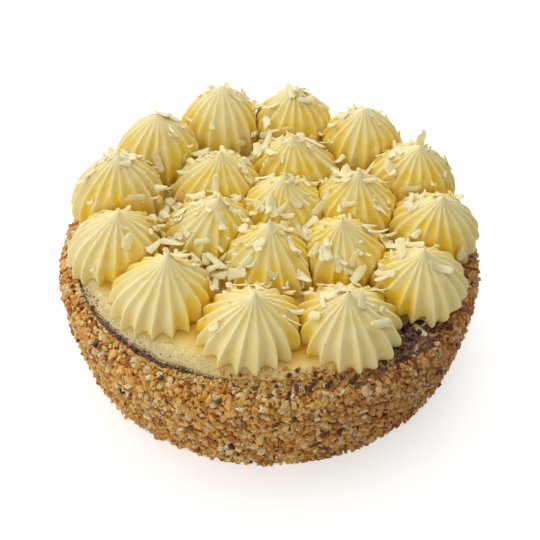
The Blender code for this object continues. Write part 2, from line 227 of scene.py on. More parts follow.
# %% [markdown]
# ## Nodes in one line each
#
# A material is a tree of nodes. Every node is made, set up and connected in the same way, so two
# helpers do that. With them a recipe reads like a formula: each line names what goes into a node
# and gives the socket that comes out.

# %% Helpers for nodes
def feed(tree, socket, source):
    """Link an output to a socket, or set the socket to a number or a colour."""
    if isinstance(source, bpy.types.NodeSocket):
        tree.links.new(source, socket)
    elif isinstance(source, tuple):
        socket.default_value = (*source, 1.0)[:len(socket.default_value)]
    else:
        socket.default_value = source


def add_node(tree, kind, inputs, output=0, **settings):
    """Put a node in a tree with its settings and inputs, and give one of its outputs."""
    node = tree.nodes.new("ShaderNode" + kind)
    for key, setting in settings.items():
        setattr(node, key, setting)
    for title, source in inputs.items():
        feed(tree, node.inputs[title], source)
    return node.outputs[output]


def multiply(tree, first, second):
    """The product of two values."""
    return add_node(tree, "Math", {0: first, 1: second}, operation="MULTIPLY")


def noise(tree, size, detail=2.0):
    """Noise in the piece's own space, from 0 to 1. The larger the size, the finer it is."""
    place = add_node(tree, "TexCoord", {}, "Object")
    return add_node(tree, "TexNoise", {"Vector": place, "Scale": size, "Detail": detail}, "Fac")


def stretch(tree, value, low, high, curve="LINEAR"):
    """0 where a value is below low, 1 where it is above high."""
    inputs = {"Value": value, "From Min": low, "From Max": high}
    return add_node(tree, "MapRange", inputs, "Result", interpolation_type=curve)


def mix_colour(tree, factor, first, second):
    """The first colour where the factor is 0 and the second where it is 1."""
    return add_node(tree, "Mix", {"Factor": factor, "A": first, "B": second}, "Result", data_type="RGBA")


def point_value(tree, key, output="Fac"):
    """One of the mesh's own values, such as how deep a groove is."""
    return add_node(tree, "Attribute", {}, output, attribute_name=key)


# %% [markdown]
# ## Shared shader groups
#
# Cream, sponge and nuts all have a fine uneven surface, and all are a little mottled in colour.
# Each effect is one node group, built once and placed in every material with its own numbers. A
# group gives out only values and colours. The Principled shader stays in the material itself.

# %% Build the two groups
FINER = 3.7
PATCHES_FROM_TO = (0.38, 0.68)


def new_group(name, inputs, output, kind):
    """An empty shader group, with the sockets that bring its inputs in and take its output out."""
    tree = bpy.data.node_groups.new(name, "ShaderNodeTree")
    for title, default in inputs.items():
        socket = "NodeSocketColor" if isinstance(default, tuple) else "NodeSocketFloat"
        tree.interface.new_socket(name=title, in_out="INPUT", socket_type=socket).default_value = default
    tree.interface.new_socket(name=output, in_out="OUTPUT", socket_type=kind)
    return tree, tree.nodes.new("NodeGroupInput").outputs, tree.nodes.new("NodeGroupOutput").inputs


def make_grain_group():
    """Height of a fine uneven surface: two sizes of noise mixed, coarse and fine."""
    inputs = {"Size": 400.0, "Fine Share": 0.4}
    tree, given, out = new_group("fine grain", inputs, "Height", "NodeSocketFloat")
    fine = noise(tree, multiply(tree, given["Size"], FINER))
    heights = {"Factor": given["Fine Share"], "A": noise(tree, given["Size"]), "B": fine}
    tree.links.new(add_node(tree, "Mix", heights, "Result"), out["Height"])
    return tree


def make_mottle_group():
    """Two colours mixed by noise. Amount says how far the second colour reaches in."""
    inputs = {"Colour": (0.8, 0.8, 0.8, 1.0), "Patches": (0.5, 0.5, 0.5, 1.0), "Size": 200.0, "Amount": 0.5}
    tree, given, out = new_group("mottled colour", inputs, "Colour", "NodeSocketColor")
    spread = stretch(tree, noise(tree, given["Size"], 4.0), *PATCHES_FROM_TO, "SMOOTHSTEP")
    amount = multiply(tree, spread, given["Amount"])
    tree.links.new(mix_colour(tree, amount, given["Colour"], given["Patches"]), out["Colour"])
    return tree


grain_group = make_grain_group()
mottle_group = make_mottle_group()
print("groups:", [tree.name for tree in (grain_group, mottle_group)])

# %% [markdown]
# ## A material in a few lines
#
# Each finish below is a Principled shader with a bump from the grain group. What differs is where
# its colour comes from, so one function does the common part and is handed the recipe of the
# colour. Cream, nuts and chocolate also let light travel a little way under their surface.

# %% Make a finish
def feed_shader(tree, inputs):
    """Feed the inputs of a material's Principled shader."""
    for title, source in inputs.items():
        feed(tree, tree.nodes["Principled BSDF"].inputs[title], source)


def mottled(tree, colour, patches, size, amount):
    """The mottle group, placed in a material."""
    inputs = {"Colour": colour, "Patches": patches, "Size": size, "Amount": amount}
    return add_node(tree, "Group", inputs, node_tree=mottle_group)


def make_finish(name, roughness, specular, colour, grain, soft=None):
    """A finish of the cake. colour is a function that builds the base colour in a tree.

    grain is the size and fine share of the bump, its height in mm and its strength. soft is how
    much light travels under the surface, how far in mm, and the share of it for each colour.
    """
    finish = bpy.data.materials.new(name)
    finish.use_nodes = True
    tree = finish.node_tree
    size, fine_share, height_mm, strength = grain
    height = add_node(tree, "Group", {"Size": size, "Fine Share": fine_share}, node_tree=grain_group)
    bump = {"Height": height, "Distance": height_mm * MM, "Strength": strength}
    feed_shader(tree, {
        "Roughness": roughness, "Specular IOR Level": specular,
        "Base Color": colour(tree), "Normal": add_node(tree, "Bump", bump, "Normal")})
    if soft:
        weight, reach_mm, reach = soft
        feed_shader(tree, {
            "Subsurface Weight": weight, "Subsurface Scale": reach_mm * MM, "Subsurface Radius": reach})
    return finish


# %% [markdown]
# ## Piped cream
#
# Whipped cream is a pale yellow, soft and slightly moist. Light goes a few millimetres into it and
# comes out warmer, which is why the grooves between ridges and the feet of the rosettes look a
# deeper yellow than the crests and tips. Subsurface scattering gives a part of that. The rest is
# painted shade: a value called groove, which each rosette's mesh carries, mixes a deeper yellow into
# the grooves, the feet and the flanks where rosettes crowd, so the colour follows the ridges. The
# pits of air bubbles get painted shade as well.

# %% The finish of the piped cream
CREAM_CREST = (0.93, 0.828, 0.50)
# The groove colour is painted shade: the deeper yellow of grooves, feet and crowded flanks.
CREAM_GROOVE_SHADE = (0.97, 0.685, 0.03)
CREAM_PATCH = (0.94, 0.85, 0.57)
# The pit colour is painted shade inside the bubble pits.
CREAM_PIT_SHADE = (0.86, 0.62, 0.12)
CREAM_REACH = (1.0, 0.90, 0.55)


def piped_cream_colour(tree):
    """Crest colour and painted shade from the groove value, a little mottled, with painted shade in the pits.
    """
    shaded = mix_colour(tree, point_value(tree, "groove"), CREAM_CREST, CREAM_GROOVE_SHADE)
    patched = mottled(tree, shaded, CREAM_PATCH, size=160.0, amount=0.45)
    return mix_colour(tree, point_value(tree, "pit"), patched, CREAM_PIT_SHADE)


piped_cream = make_finish("piped cream", 0.45, 0.4, piped_cream_colour,
                          grain=(900.0, 0.4, 0.12, 0.35), soft=(0.8, 1.7, CREAM_REACH))
print("finish:", piped_cream.name)

# %% [markdown]
# ## Where the rosettes stand
#
# A ring of twelve rosettes follows the rim, six stand inside it and one in the middle. They were
# piped by hand, so no two are alike: each has its own height, and its tip leans the way the nozzle
# was pulled off. The numbers below are those of the plain solids, except that neighbours press
# closer together here, so that no light falls between them.

# %% Places and pulls of the rosettes
CROWDED_FROM_TO = (34.0 * MM, 22.0 * MM)

# name: clock, distance from the middle in mm, tip lean to the right and to the back in mm, height in
# mm, peak power (1 a full dome, 2.6 a narrow peak), clock of the first ridge
ROSETTES = {
    "rosette_outer_01": (-6.9, 65.4, 2.5, -1.5, 26.5, 2.6, 6),
    "rosette_outer_02": (27.3, 71.0, -1.5, -3.0, 26.0, 2.6, 10),
    "rosette_outer_03": (60.0, 75.5, -0.5, -3.0, 26.0, 2.6, 8),
    "rosette_outer_04": (88.5, 76.5, 1.5, -5.0, 27.0, 2.0, 15),
    "rosette_outer_05": (114.5, 77.0, 2.0, -3.5, 29.2, 1.4, 3),
    "rosette_outer_06": (142.5, 77.5, 0.5, -3.3, 30.7, 1.2, 19),
    "rosette_outer_07": (171.0, 77.7, 1.0, -1.6, 32.2, 1.15, 12),
    "rosette_outer_08": (199.5, 78.8, 1.5, 1.4, 33.0, 1.0, 7),
    "rosette_outer_09": (228.0, 78.5, 3.5, -1.5, 32.3, 1.1, 1),
    "rosette_outer_10": (255.0, 77.8, 4.8, -2.5, 30.8, 1.15, 17),
    "rosette_outer_11": (282.5, 72.5, 5.0, -2.0, 27.5, 2.0, 8),
    "rosette_outer_12": (315.1, 65.8, 5.0, 2.0, 27.0, 2.6, 15),
    "rosette_inner_1": (0.0, 26.5, 0.5, 3.0, 28.0, 2.6, 15),
    "rosette_inner_2": (57.5, 38.5, -1.0, -1.0, 27.5, 2.6, 4),
    "rosette_inner_3": (104.5, 42.5, 0.5, 0.5, 28.0, 2.0, 11),
    "rosette_inner_4": (163.0, 44.5, -1.5, -3.0, 27.5, 1.7, 20),
    "rosette_inner_5": (223.0, 38.0, 3.0, -1.5, 28.0, 2.0, 13),
    "rosette_inner_6": (280.5, 28.5, 6.0, -2.0, 27.5, 2.4, 6),
    "rosette_centre": (140.0, 11.0, 0.0, 0.5, 28.0, 2.2, 9),
}


def rosette_foot(name):
    """Middle of a rosette's foot, in x and y."""
    clock, distance = ROSETTES[name][:2]
    return clock_direction(clock) * distance * MM


all_feet = np.array([rosette_foot(name) for name in ROSETTES])


def crowding(points):
    """1 where a second rosette stands close by, 0 from 34 mm off."""
    distance = np.linalg.norm(points[..., None, :2] - all_feet, axis=-1)
    return smooth_step(*CROWDED_FROM_TO, np.partition(distance, 1, axis=-1)[..., 1])


print(len(ROSETTES), "rosettes")

# %% [markdown]
# ## The form of a rosette
#
# A rosette has a broad shoulder and runs up into a peak. Soft cream that is piped beside cream that
# already stands there flattens against it. So each rosette is worked out as if it stood alone and
# is then pressed back from the upright planes half way to its neighbours. Its foot follows the
# spread cream, which drops away towards the rim.

# %% A rosette's surface as a formula
ROSETTE_RADIUS = 23.7 * MM
FLUTE_DEPTH = 0.17
FLUTE_FADE = 0.55
SHOULDER_POWER = 2.6
PEAK_BLUNT = 0.05
LEAN_POWER = 1.3
FOOT_TUCK = 0.06
FOOT_TUCK_LEVEL = 0.07
NEIGHBOUR_RANGE = 50.0 * MM
NEIGHBOUR_FACING = 0.05
FAR_AWAY = 1.0
PRESS_SHARPNESS = 28
PRESS_GAP = 0.04 * MM
RIM_CLEARANCE = 91.5 * MM
SHOULDER_RADIUS = 85.0 * MM
CREAM_SLOPE = 0.56


def cream_drop(radius):
    """How far the cream has dropped towards the rim, at a distance from the cake's middle."""
    return CREAM_SLOPE * np.clip(radius - SHOULDER_RADIUS, 0.0, None)


def free_reach(name, axis_points, directions, rise):
    """Distance from the rosette's axis to the nearest face where a neighbour presses on it.

    Each neighbour's face is the upright plane half way between the two feet. Low down, the
    coat's rim counts as one more limit, which widens with the rise.
    """
    foot = rosette_foot(name)
    reach = np.full(directions.shape[:-1], FAR_AWAY)
    for other in ROSETTES:
        step = rosette_foot(other) - foot
        distance = np.hypot(*step)
        if other == name or distance > NEIGHBOUR_RANGE:
            continue
        normal = step / distance
        to_face = (distance - PRESS_GAP) / 2 - (axis_points - foot) @ normal
        facing = directions @ normal
        towards = facing > NEIGHBOUR_FACING
        reach = np.where(towards, np.minimum(reach, to_face / np.where(towards, facing, 1.0)), reach)
    along = np.sum(axis_points * directions, axis=-1)
    limit = RIM_CLEARANCE + rise
    room = limit ** 2 - np.sum(axis_points ** 2, axis=-1) + along ** 2
    return np.minimum(reach, np.sqrt(np.clip(room, 0.0, None)) - along)


def rosette_profile(level, peak_power):
    """Radius without ridges, as a share of the full radius, at a level from 0 (foot) to 1 (tip)."""
    profile = (1.0 - level ** SHOULDER_POWER) ** peak_power
    profile = profile * (1.0 - FOOT_TUCK * np.exp(-level / FOOT_TUCK_LEVEL))
    return profile + PEAK_BLUNT * level ** 4 * np.sqrt(1.0 - level)


def rosette_surface(name, level, crest_angle, flute):
    """Points of a rosette at heights level (0 foot, 1 tip) and angles crest_angle.

    The radius is R * (1 - level^2.6)^p, a broad shoulder that runs up into a peak: a full dome for
    p = 1, a narrow peak for p = 2.6. It is blunted at the peak and tucked in at the foot, cut back
    by the flutes (flute 0 on a crest, 1 in a groove), and pressed in where a neighbour stands:
    r / (1 + (r / reach)^n)^(1/n). The axis leans with a power of the level, and the foot sags
    with the cream under it.
    """
    lean_right, lean_back, height, peak_power = ROSETTES[name][2:6]
    profile = rosette_profile(level, peak_power)
    depth = FLUTE_DEPTH * (1.0 - FLUTE_FADE * level)
    radius = ROSETTE_RADIUS * profile * (1.0 - depth * flute)
    pull = level ** LEAN_POWER * MM
    lean = np.stack([lean_right * pull, lean_back * pull], axis=-1)
    axis_points = rosette_foot(name) + lean
    directions = clock_direction(np.degrees(crest_angle))
    rise = level * height * MM
    reach = free_reach(name, axis_points, directions, rise)
    radius = radius / (1.0 + (radius / reach) ** PRESS_SHARPNESS) ** (1.0 / PRESS_SHARPNESS)
    flat = axis_points + directions * radius[..., None]
    sag = cream_drop(np.hypot(flat[..., 0], flat[..., 1])) * (1.0 - level) ** 2
    z = CREAM_TOP_Z + GAP + rise - sag
    return np.concatenate([flat, z[..., None]], axis=-1)


half_way = ROSETTE_RADIUS * rosette_profile(0.5, 2.6) / MM
print("radius of a narrow rosette half way up:", round(float(half_way), 1), "mm")

# %% [markdown]
# ## Ridges and pits
#
# A star nozzle leaves narrow rounded crests with broad hollow grooves between them, which cut back
# the radius. Small air bubbles leave pits, which are real dents in the mesh, and the cream inside
# them is also painted darker, which is painted shade. A pit is pushed in along the surface's own
# direction, so it needs the normals.

# %% Grooves between crests, and dents
CREST_ROUND = 0.16
GROOVE_POWER = 2.0
FULL_PIT = 0.7 * MM


def grid_normals(rings):
    """Unit normals of a stack of rings: across the ring times up the stack."""
    across = np.roll(rings, -1, axis=1) - np.roll(rings, 1, axis=1)
    normals = np.cross(across, np.gradient(rings, axis=0))
    return normals / np.maximum(np.linalg.norm(normals, axis=-1, keepdims=True), 1e-12)


def flute_shape(from_crest):
    """Depth of a flute, 0 on a crest and 1 in the middle of a groove.

    With x the distance from the crest (1 in mid groove), it is 1 - (1 - s)^2, where s is x with
    its corner at the crest rounded: s = (sqrt(x^2 + e^2) - e) / (sqrt(1 + e^2) - e).
    """
    rounded = np.sqrt(from_crest ** 2 + CREST_ROUND ** 2) - CREST_ROUND
    rounded = rounded / (math.sqrt(1.0 + CREST_ROUND ** 2) - CREST_ROUND)
    return 1.0 - (1.0 - rounded) ** GROOVE_POWER


def dent(points, normals, centres, radii, depth):
    """Push points in round each centre by depth * exp(-(distance / radius)^2). Also says how far."""
    pushed = np.zeros(points.shape[:2])
    for centre, radius in zip(centres, radii):
        distance = np.linalg.norm(points - centre, axis=-1)
        pushed = np.maximum(pushed, np.exp(-(distance / radius) ** 2) * min(1.0, radius / FULL_PIT))
    return points - normals * (pushed * depth)[..., None], pushed


print("half way from a crest to the groove a flute has", round(float(flute_shape(0.5)), 2), "of its depth")

# %% [markdown]
# ## One piped rosette
#
# The surface is a grid: one direction runs round the rosette, the other from foot to tip. Columns
# are crowded towards the crests, where the form turns fastest, and rows towards the foot and the
# tip. The ridges wander a little and bite in unevenly, because a hand moved the nozzle, and they
# melt into a smooth cone below the tip. The groove value, which paints shade into the colour, grows
# in the grooves, towards the foot and where another rosette stands close by, because less light
# gets in there.

# %% Shape a rosette
RIDGES = 18
RIDGE_WANDER = 2.2
RIDGE_SWEEP = 6.0
COLUMNS_PER_RIDGE = 16
ROSETTE_ROWS = 72
CREST_CROWDING = 0.6
RIDGE_ENDS = (1.5 * MM, 6.0 * MM)
RIDGE_WAVE = 0.7
SEAT_SINK = 0.8 * MM
LUMP_HEIGHT = 0.13 * MM
PITS_EACH = 9
PIT_DEPTH = 0.75 * MM
PIT_ROWS = (8, 42)
PIT_RADII_MM = (0.35, 0.95)
RIDGE_BITES = (0.75, 1.15)
# Strengths of the painted shade in the groove value: in the grooves and at the foot, more where rosettes
# crowd.
GROOVE_SHADE_STRENGTH = 0.34
GROOVE_SHADE_CROWDED = 0.40
FOOT_SHADE_STRENGTH = 0.22
FOOT_SHADE_CROWDED = 0.78
FOOT_SHADE_POWER = 1.1


def rosette_grid(name):
    """Rings of a rosette from foot to tip, with the groove and pit value of each point, both painted shade.
    """
    rng = random.Random(name)
    knots = 2 * RIDGES
    first_ridge = ROSETTES[name][6]
    sweep = rng.uniform(-RIDGE_SWEEP, RIDGE_SWEEP)
    wander = np.array([rng.uniform(-RIDGE_WANDER, RIDGE_WANDER) for _ in range(knots)])
    clocks = first_ridge + np.arange(knots) * 360.0 / knots + wander
    bites = np.array([rng.uniform(*RIDGE_BITES) for _ in range(RIDGES)])

    even = np.arange(RIDGES * COLUMNS_PER_RIDGE) / COLUMNS_PER_RIDGE
    ridge = even - CREST_CROWDING * np.sin(2.0 * math.pi * even) / (2.0 * math.pi)
    clock = np.interp(2.0 * ridge, np.arange(knots + 1), np.append(clocks, clocks[0] + 360.0))
    bite = np.interp(ridge, np.arange(RIDGES + 1), np.append(bites, bites[0]))
    flute = flute_shape(2.0 * np.abs(ridge - np.round(ridge))) * bite

    level = 0.5 - 0.5 * np.cos(np.linspace(0.0, math.pi, ROSETTE_ROWS + 2))
    level = level[:-1, None] * np.ones_like(clock)
    fade = smooth_step(*RIDGE_ENDS, ROSETTE_RADIUS * rosette_profile(level, ROSETTES[name][5]))
    wave = RIDGE_WAVE * np.sin(2.0 * math.pi * (1.7 * level + ridge / 5.0 + rng.random())) * level
    angle = np.radians(clock + sweep * level + wave)
    rings = rosette_surface(name, level, angle, flute * fade)
    rings[..., 2] -= SEAT_SINK * (1.0 - level) ** 4

    seed = sum(ord(letter) for letter in name)
    normals = grid_normals(rings)
    lumps = ripple(rings, 9.0 * MM, seed) + 0.5 * ripple(rings, 4.0 * MM, seed + 1)
    rings = rings + normals * (LUMP_HEIGHT * lumps * smooth_step(1.0, 0.9, level))[..., None]
    spots = [(rng.randrange(*PIT_ROWS), rng.randrange(len(clock))) for _ in range(PITS_EACH)]
    centres = [rings[spot] for spot in spots]
    radii = [rng.uniform(*PIT_RADII_MM) * MM for _ in spots]
    rings, pit = dent(rings, normals, centres, radii, PIT_DEPTH)
    crowded = crowding(rings)
    # Painted shade: a deeper yellow in the grooves and towards the foot, more where another rosette is close.
    groove = (GROOVE_SHADE_STRENGTH + GROOVE_SHADE_CROWDED * crowded) * flute * fade
    foot = (FOOT_SHADE_STRENGTH + FOOT_SHADE_CROWDED * crowded) * (1.0 - level) ** FOOT_SHADE_POWER
    return rings, np.clip(groove + foot, 0.0, 1.0), pit


def piped_rosette(name):
    """One rosette as a piece that stands for its plain solid."""
    rings, groove, pit = rosette_grid(name)
    return ring_piece("piped_" + name, rings, piped_cream, "piped_cream", (name,), groove=groove, pit=pit)


rosette_pieces = {name: piped_rosette(name) for name in ROSETTES}

# %% [markdown]
# ## The spread cream
#
# Under the rosettes lies a thin bed of cream. At the front it is smooth and yellow. Round the rim
# the knife has dragged it out thin, so it is rougher and whiter there, above all on the left. It
# slopes down to a ragged edge, and at the front right it is missing, so the sponge shows. The
# surface is a grid of rings, with few rings in the hidden middle and many on the slope.

# %% Shape the bed of cream
CREAM_COLUMNS = 720
CREAM_EDGE_RADIUS = 90.0 * MM
BARE_PATCH_CLOCK = 44.0
BARE_PATCH_HALF_ANGLE = 8.5
BARE_PATCH_DEPTH = 10.0 * MM
SET_BACK_CLOCK = 338.0
SET_BACK_HALF_ANGLE = 31.0
SET_BACK_DEPTH = 2.2 * MM
INNER_RINGS = 10
SLOPE_RINGS = 46
LIP_RINGS = 7
LIP_DEPTH = 0.5 * MM


def roughness_round_rim(clock):
    """How rough and white the cream is: little at the smooth front, 1 at the scraped left rim."""
    left = near_clock(clock, 300.0, 42.0)
    right = 0.6 * near_clock(clock, 62.0, 26.0)
    back = 0.45 * near_clock(clock, 180.0, 70.0)
    return 0.12 + 0.88 * np.maximum(np.maximum(left, right), back)


cream_clocks = np.arange(CREAM_COLUMNS) * 360.0 / CREAM_COLUMNS
rough = roughness_round_rim(cream_clocks)
edge_line = round_points(cream_clocks, CREAM_EDGE_RADIUS, 0.0)
bare = near_clock(cream_clocks, BARE_PATCH_CLOCK, BARE_PATCH_HALF_ANGLE, 2)
set_back = near_clock(cream_clocks, SET_BACK_CLOCK, SET_BACK_HALF_ANGLE)
edge_radius = CREAM_EDGE_RADIUS - BARE_PATCH_DEPTH * bare - SET_BACK_DEPTH * set_back
waves = 0.5 * MM * ripple(edge_line, 14.0 * MM, 31)
edge_radius += waves + 0.45 * MM * rough * ripple(edge_line, 4.0 * MM, 32)
edge_radius += 0.4 * MM * rough * ripple(edge_line, 1.7 * MM, 33)


def cream_top_height(points, rough_here):
    """Height of the cream's top: level, then sloping down outside the shoulder, with knife marks."""
    radius = np.hypot(points[..., 0], points[..., 1])
    marks = 0.22 * ripple(points, 7.0 * MM, 41) + 0.16 * ripple(points, 2.6 * MM, 42) * rough_here
    marks += 0.12 * ripple(points, 1.2 * MM, 43) * rough_here
    return CREAM_TOP_Z - cream_drop(radius) + marks * MM * (0.35 + 0.65 * rough_here)


def spread_cream_rings():
    """Rings from the middle of the underside, out round the lip, and in over the top."""
    under_rings = round_points(cream_clocks, np.linspace(0.1, 0.97, 3)[:, None] * edge_radius, CREAM_LOW_Z)
    inner = np.linspace(4.0 * MM, 74.0 * MM, INNER_RINGS)[:, None] * np.ones(CREAM_COLUMNS)
    share = np.linspace(0.0, 1.0, SLOPE_RINGS)[:, None]
    slope = 76.0 * MM * (1.0 - share) + (edge_radius - LIP_DEPTH) * share
    top_rings = round_points(cream_clocks, np.concatenate([inner, slope]), 0.0)
    top_rings[..., 2] = cream_top_height(top_rings, rough)
    turn = np.linspace(0.0, math.pi / 2, LIP_RINGS)[:-1, None]
    lip_z = CREAM_LOW_Z + (top_rings[-1, :, 2] - CREAM_LOW_Z) * np.sin(turn)
    lip_rings = round_points(cream_clocks, edge_radius - LIP_DEPTH * (1.0 - np.cos(turn)), lip_z)
    lip_rings[..., :2] *= 1.0 + (0.3 * MM * ripple(lip_rings, 1.8 * MM, 44) / edge_radius * rough)[..., None]
    return np.concatenate([under_rings, lip_rings, top_rings[::-1]])


cream_rings = spread_cream_rings()
print("bed of cream:", cream_rings.shape[0], "rings of", CREAM_COLUMNS, "points")

# %% [markdown]
# ## Finish of the spread cream
#
# It is the same cream as the rosettes, so its colours are near theirs, only a little deeper. Close
# to their feet, and more where they crowd, a deep yellow is painted in as painted shade, because
# light reaches it there only through cream. Where the knife has scraped it thin it is pale, with
# fine brown specks of nut dust in it. The specks are a noise pattern that only shows where the mesh
# says that the cream is white. A short brown streak marks one place.

# %% Colour the bed of cream and place it
SPREAD_COLOUR = (0.94, 0.79, 0.33)
SPREAD_PATCH = (0.93, 0.83, 0.44)
# The colour near the rosettes' feet is painted shade.
BED_SHADE_COLOUR = (0.80, 0.49, 0.02)
STREAK_COLOUR = (0.62, 0.43, 0.19)
SCRAPED_COLOUR = (0.95, 0.85, 0.54)
SPECK_COLOUR = (0.50, 0.32, 0.14)

cream_radius = np.hypot(cream_rings[..., 0], cream_rings[..., 1])
white = rough * smooth_step(80.0 * MM, 88.0 * MM, cream_radius)
white = np.clip(white * (0.75 + 0.5 * ripple(cream_rings, 5.0 * MM, 45)), 0.0, 1.0)
# Painted shade: a deeper yellow near the rosettes' feet, more where they crowd.
to_feet = np.linalg.norm(cream_rings[..., None, :2] - all_feet, axis=-1).min(axis=-1)
sheltered = smooth_step(30.0 * MM, 21.0 * MM, to_feet) * (0.35 + 0.65 * crowding(cream_rings))
streak_line = 83.0 * MM + 1.6 * MM * np.sin(np.radians(cream_clocks) * 40.0)
streak = np.exp(-((cream_radius - streak_line) / (0.7 * MM)) ** 2) * near_clock(cream_clocks, 331.0, 4.5)
streak = streak * np.clip(0.5 + ripple(cream_rings, 2.0 * MM, 46), 0.0, 1.0)


def speckled(tree, key, colour, speck, size, from_to):
    """A colour with small sparse spots, which show only where the mesh's value key does."""
    spots = multiply(tree, point_value(tree, key), stretch(tree, noise(tree, size), *from_to))
    return mix_colour(tree, spots, colour, speck)


def spread_cream_colour(tree):
    """Yellow cream with painted shade near the rosettes' feet, a streak, scraped white and speckled."""
    cream = mottled(tree, SPREAD_COLOUR, SPREAD_PATCH, size=120.0, amount=0.5)
    layers = {"sheltered": BED_SHADE_COLOUR, "streak": STREAK_COLOUR, "white": SCRAPED_COLOUR}
    for key, colour in layers.items():
        cream = mix_colour(tree, point_value(tree, key), cream, colour)
    return speckled(tree, "white", cream, SPECK_COLOUR, 600.0, (0.64, 0.70))


spread_cream = make_finish("spread cream", 0.48, 0.4, spread_cream_colour,
                           grain=(700.0, 0.5, 0.25, 0.6), soft=(0.4, 2.0, CREAM_REACH))
cream_bed = ring_piece("spread_cream_bed", cream_rings, spread_cream, "spread_cream", ("cream_topping",),
                       white=white, sheltered=sheltered, streak=streak)

# %% [markdown]
# ## The sheet of dark sponge
#
# Only its edge shows, as a dark line between cream and nuts, and a bare patch at the front right.
# Sponge is full of small holes, so the visible ring gets relief of two sizes, and the colour goes
# from purplish brown to dark brown in the hollows of that relief, which is painted shade. On the
# bare patch a few smears of cream are left.

# %% Shape and colour the sponge
SPONGE_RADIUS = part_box("chocolate_sponge")[1][0]
SPONGE_COLOUR = (0.32, 0.19, 0.16)
SPONGE_PATCH = (0.34, 0.23, 0.19)
# The colour of the hollows is painted shade.
SPONGE_HOLLOW_SHADE = (0.13, 0.07, 0.062)
SMEAR_COLOUR = (0.62, 0.53, 0.38)


def sponge_rings():
    """Rings up the side of the sheet and in over its top, with crumbly relief near the rim."""
    radius = np.concatenate([
        [SPONGE_RADIUS - 0.3 * MM, SPONGE_RADIUS - 0.1 * MM, SPONGE_RADIUS],
        np.linspace(91.6, 76.0, 48) * MM, np.linspace(72.0, 8.0, 5) * MM])
    height = np.concatenate([[SEAT_Z, SEAT_Z + 2.0 * MM, RIM_Z - 0.4 * MM], np.full(53, RIM_Z)])
    rings = round_points(cream_clocks, radius[:, None], height[:, None])
    shown = (smooth_step(74.0 * MM, 80.0 * MM, radius) * (height > RIM_Z - 1.0 * MM))[:, None]
    crumb = 0.38 * ripple(rings, 2.6 * MM, 51) + 0.30 * ripple(rings, 1.2 * MM, 52)
    rings[..., 2] += crumb * MM * shown - 0.25 * MM * shown
    # The second value, high in the hollows of the relief, paints shade.
    return rings, np.clip(0.5 - 0.9 * crumb, 0.0, 1.0)


def dark_sponge_colour(tree):
    """Mottled brown, with painted shade in the hollows of the relief, and smears of cream."""
    crust = mottled(tree, SPONGE_COLOUR, SPONGE_PATCH, size=420.0, amount=0.7)
    crust = mix_colour(tree, point_value(tree, "hole"), crust, SPONGE_HOLLOW_SHADE)
    return speckled(tree, "smear", crust, SMEAR_COLOUR, 260.0, (0.53, 0.58))


rings, hole = sponge_rings()
smear = near_clock(cream_clocks, BARE_PATCH_CLOCK, 11.0) * np.ones(len(rings))[:, None]
dark_sponge = make_finish("dark sponge", 0.85, 0.25, dark_sponge_colour, grain=(900.0, 0.5, 0.4, 0.9))
sponge = ring_piece("dark_sponge_sheet", rings, dark_sponge, "dark_sponge", ("chocolate_sponge",),
                    hole=hole, smear=smear)

# %% [markdown]
# ## The body under the nuts
#
# Between the grains of the coat one sees into shadow: cream brown with nut dust. So the body is a
# closed drum a little smaller than the coat, with low relief, and the grains are half sunk in it.
# Its hollows are painted darker than its bumps, which is painted shade.
# The outline of the coat is a formula, because the grains are placed along the same line.

# %% Outline of the coat and the drum inside it
BODY_COLUMNS = 480
BODY_SINK = 1.2 * MM
FOOT_RADIUS = 94.5 * MM
COAT_RADIUS = 99.2 * MM
COAT_WIDEST_Z = 42.0 * MM
RIM_INNER_RADIUS = 92.3 * MM
RIM_HEIGHT = RIM_Z - COAT_WIDEST_Z
RIM_WIDTH = COAT_RADIUS - RIM_INNER_RADIUS
WALL_SHARE = 0.80
# The hollow colour is painted shade.
HOLLOW_SHADE_COLOUR = (0.42, 0.185, 0.034)
BUMP_COLOUR = (0.66, 0.35, 0.082)
DUSTY_PATCH = (0.62, 0.40, 0.15)


def coat_outline(share):
    """Radius and height of the coat from its foot (share 0) over the rim to the sponge (share 1).

    The wall widens as a quarter of a sine wave up to its widest height, and the rim is a quarter
    of an ellipse. WALL_SHARE is the wall's part of the whole length.
    """
    wall = np.clip(share / WALL_SHARE, 0.0, 1.0)
    turn = np.clip((share - WALL_SHARE) / (1.0 - WALL_SHARE), 0.0, 1.0) * math.pi / 2
    radius = FOOT_RADIUS + (COAT_RADIUS - FOOT_RADIUS) * np.sin(wall * math.pi / 2)
    radius = radius - RIM_WIDTH * (1.0 - np.cos(turn))
    return radius, COAT_WIDEST_Z * wall + RIM_HEIGHT * np.sin(turn)


def body_rings():
    """Rings up the wall and over the rim, then down into the seat of the sponge."""
    share = np.linspace(0.0, 1.0, 60)
    radius, height = coat_outline(share)
    radius = radius - BODY_SINK
    height = np.where(share > 0, height - BODY_SINK * smooth_step(WALL_SHARE, 1.0, share), FLOOR_Z)
    radius = np.append(radius, radius[-1])
    height = np.append(height, SEAT_Z - GAP)
    clocks = np.arange(BODY_COLUMNS) * 360.0 / BODY_COLUMNS
    rings = round_points(clocks, radius[:, None], height[:, None])
    bumps = 0.5 * ripple(rings, 5.0 * MM, 61) + 0.4 * ripple(rings, 2.2 * MM, 62)
    rings[1:-1, :, :2] *= 1.0 + (bumps * MM / radius[:, None])[1:-1, :, None]
    return rings, np.clip(0.5 + 0.6 * bumps, 0.0, 1.0)


def nutty_colour(tree):
    """Nut-dust brown on the bumps and painted shade in the hollows, with pale patches."""
    # Painted shade: darker in the hollows of the drum's relief than on its bumps.
    tone = mix_colour(tree, point_value(tree, "raised"), HOLLOW_SHADE_COLOUR, BUMP_COLOUR)
    return mottled(tree, tone, DUSTY_PATCH, size=500.0, amount=0.6)


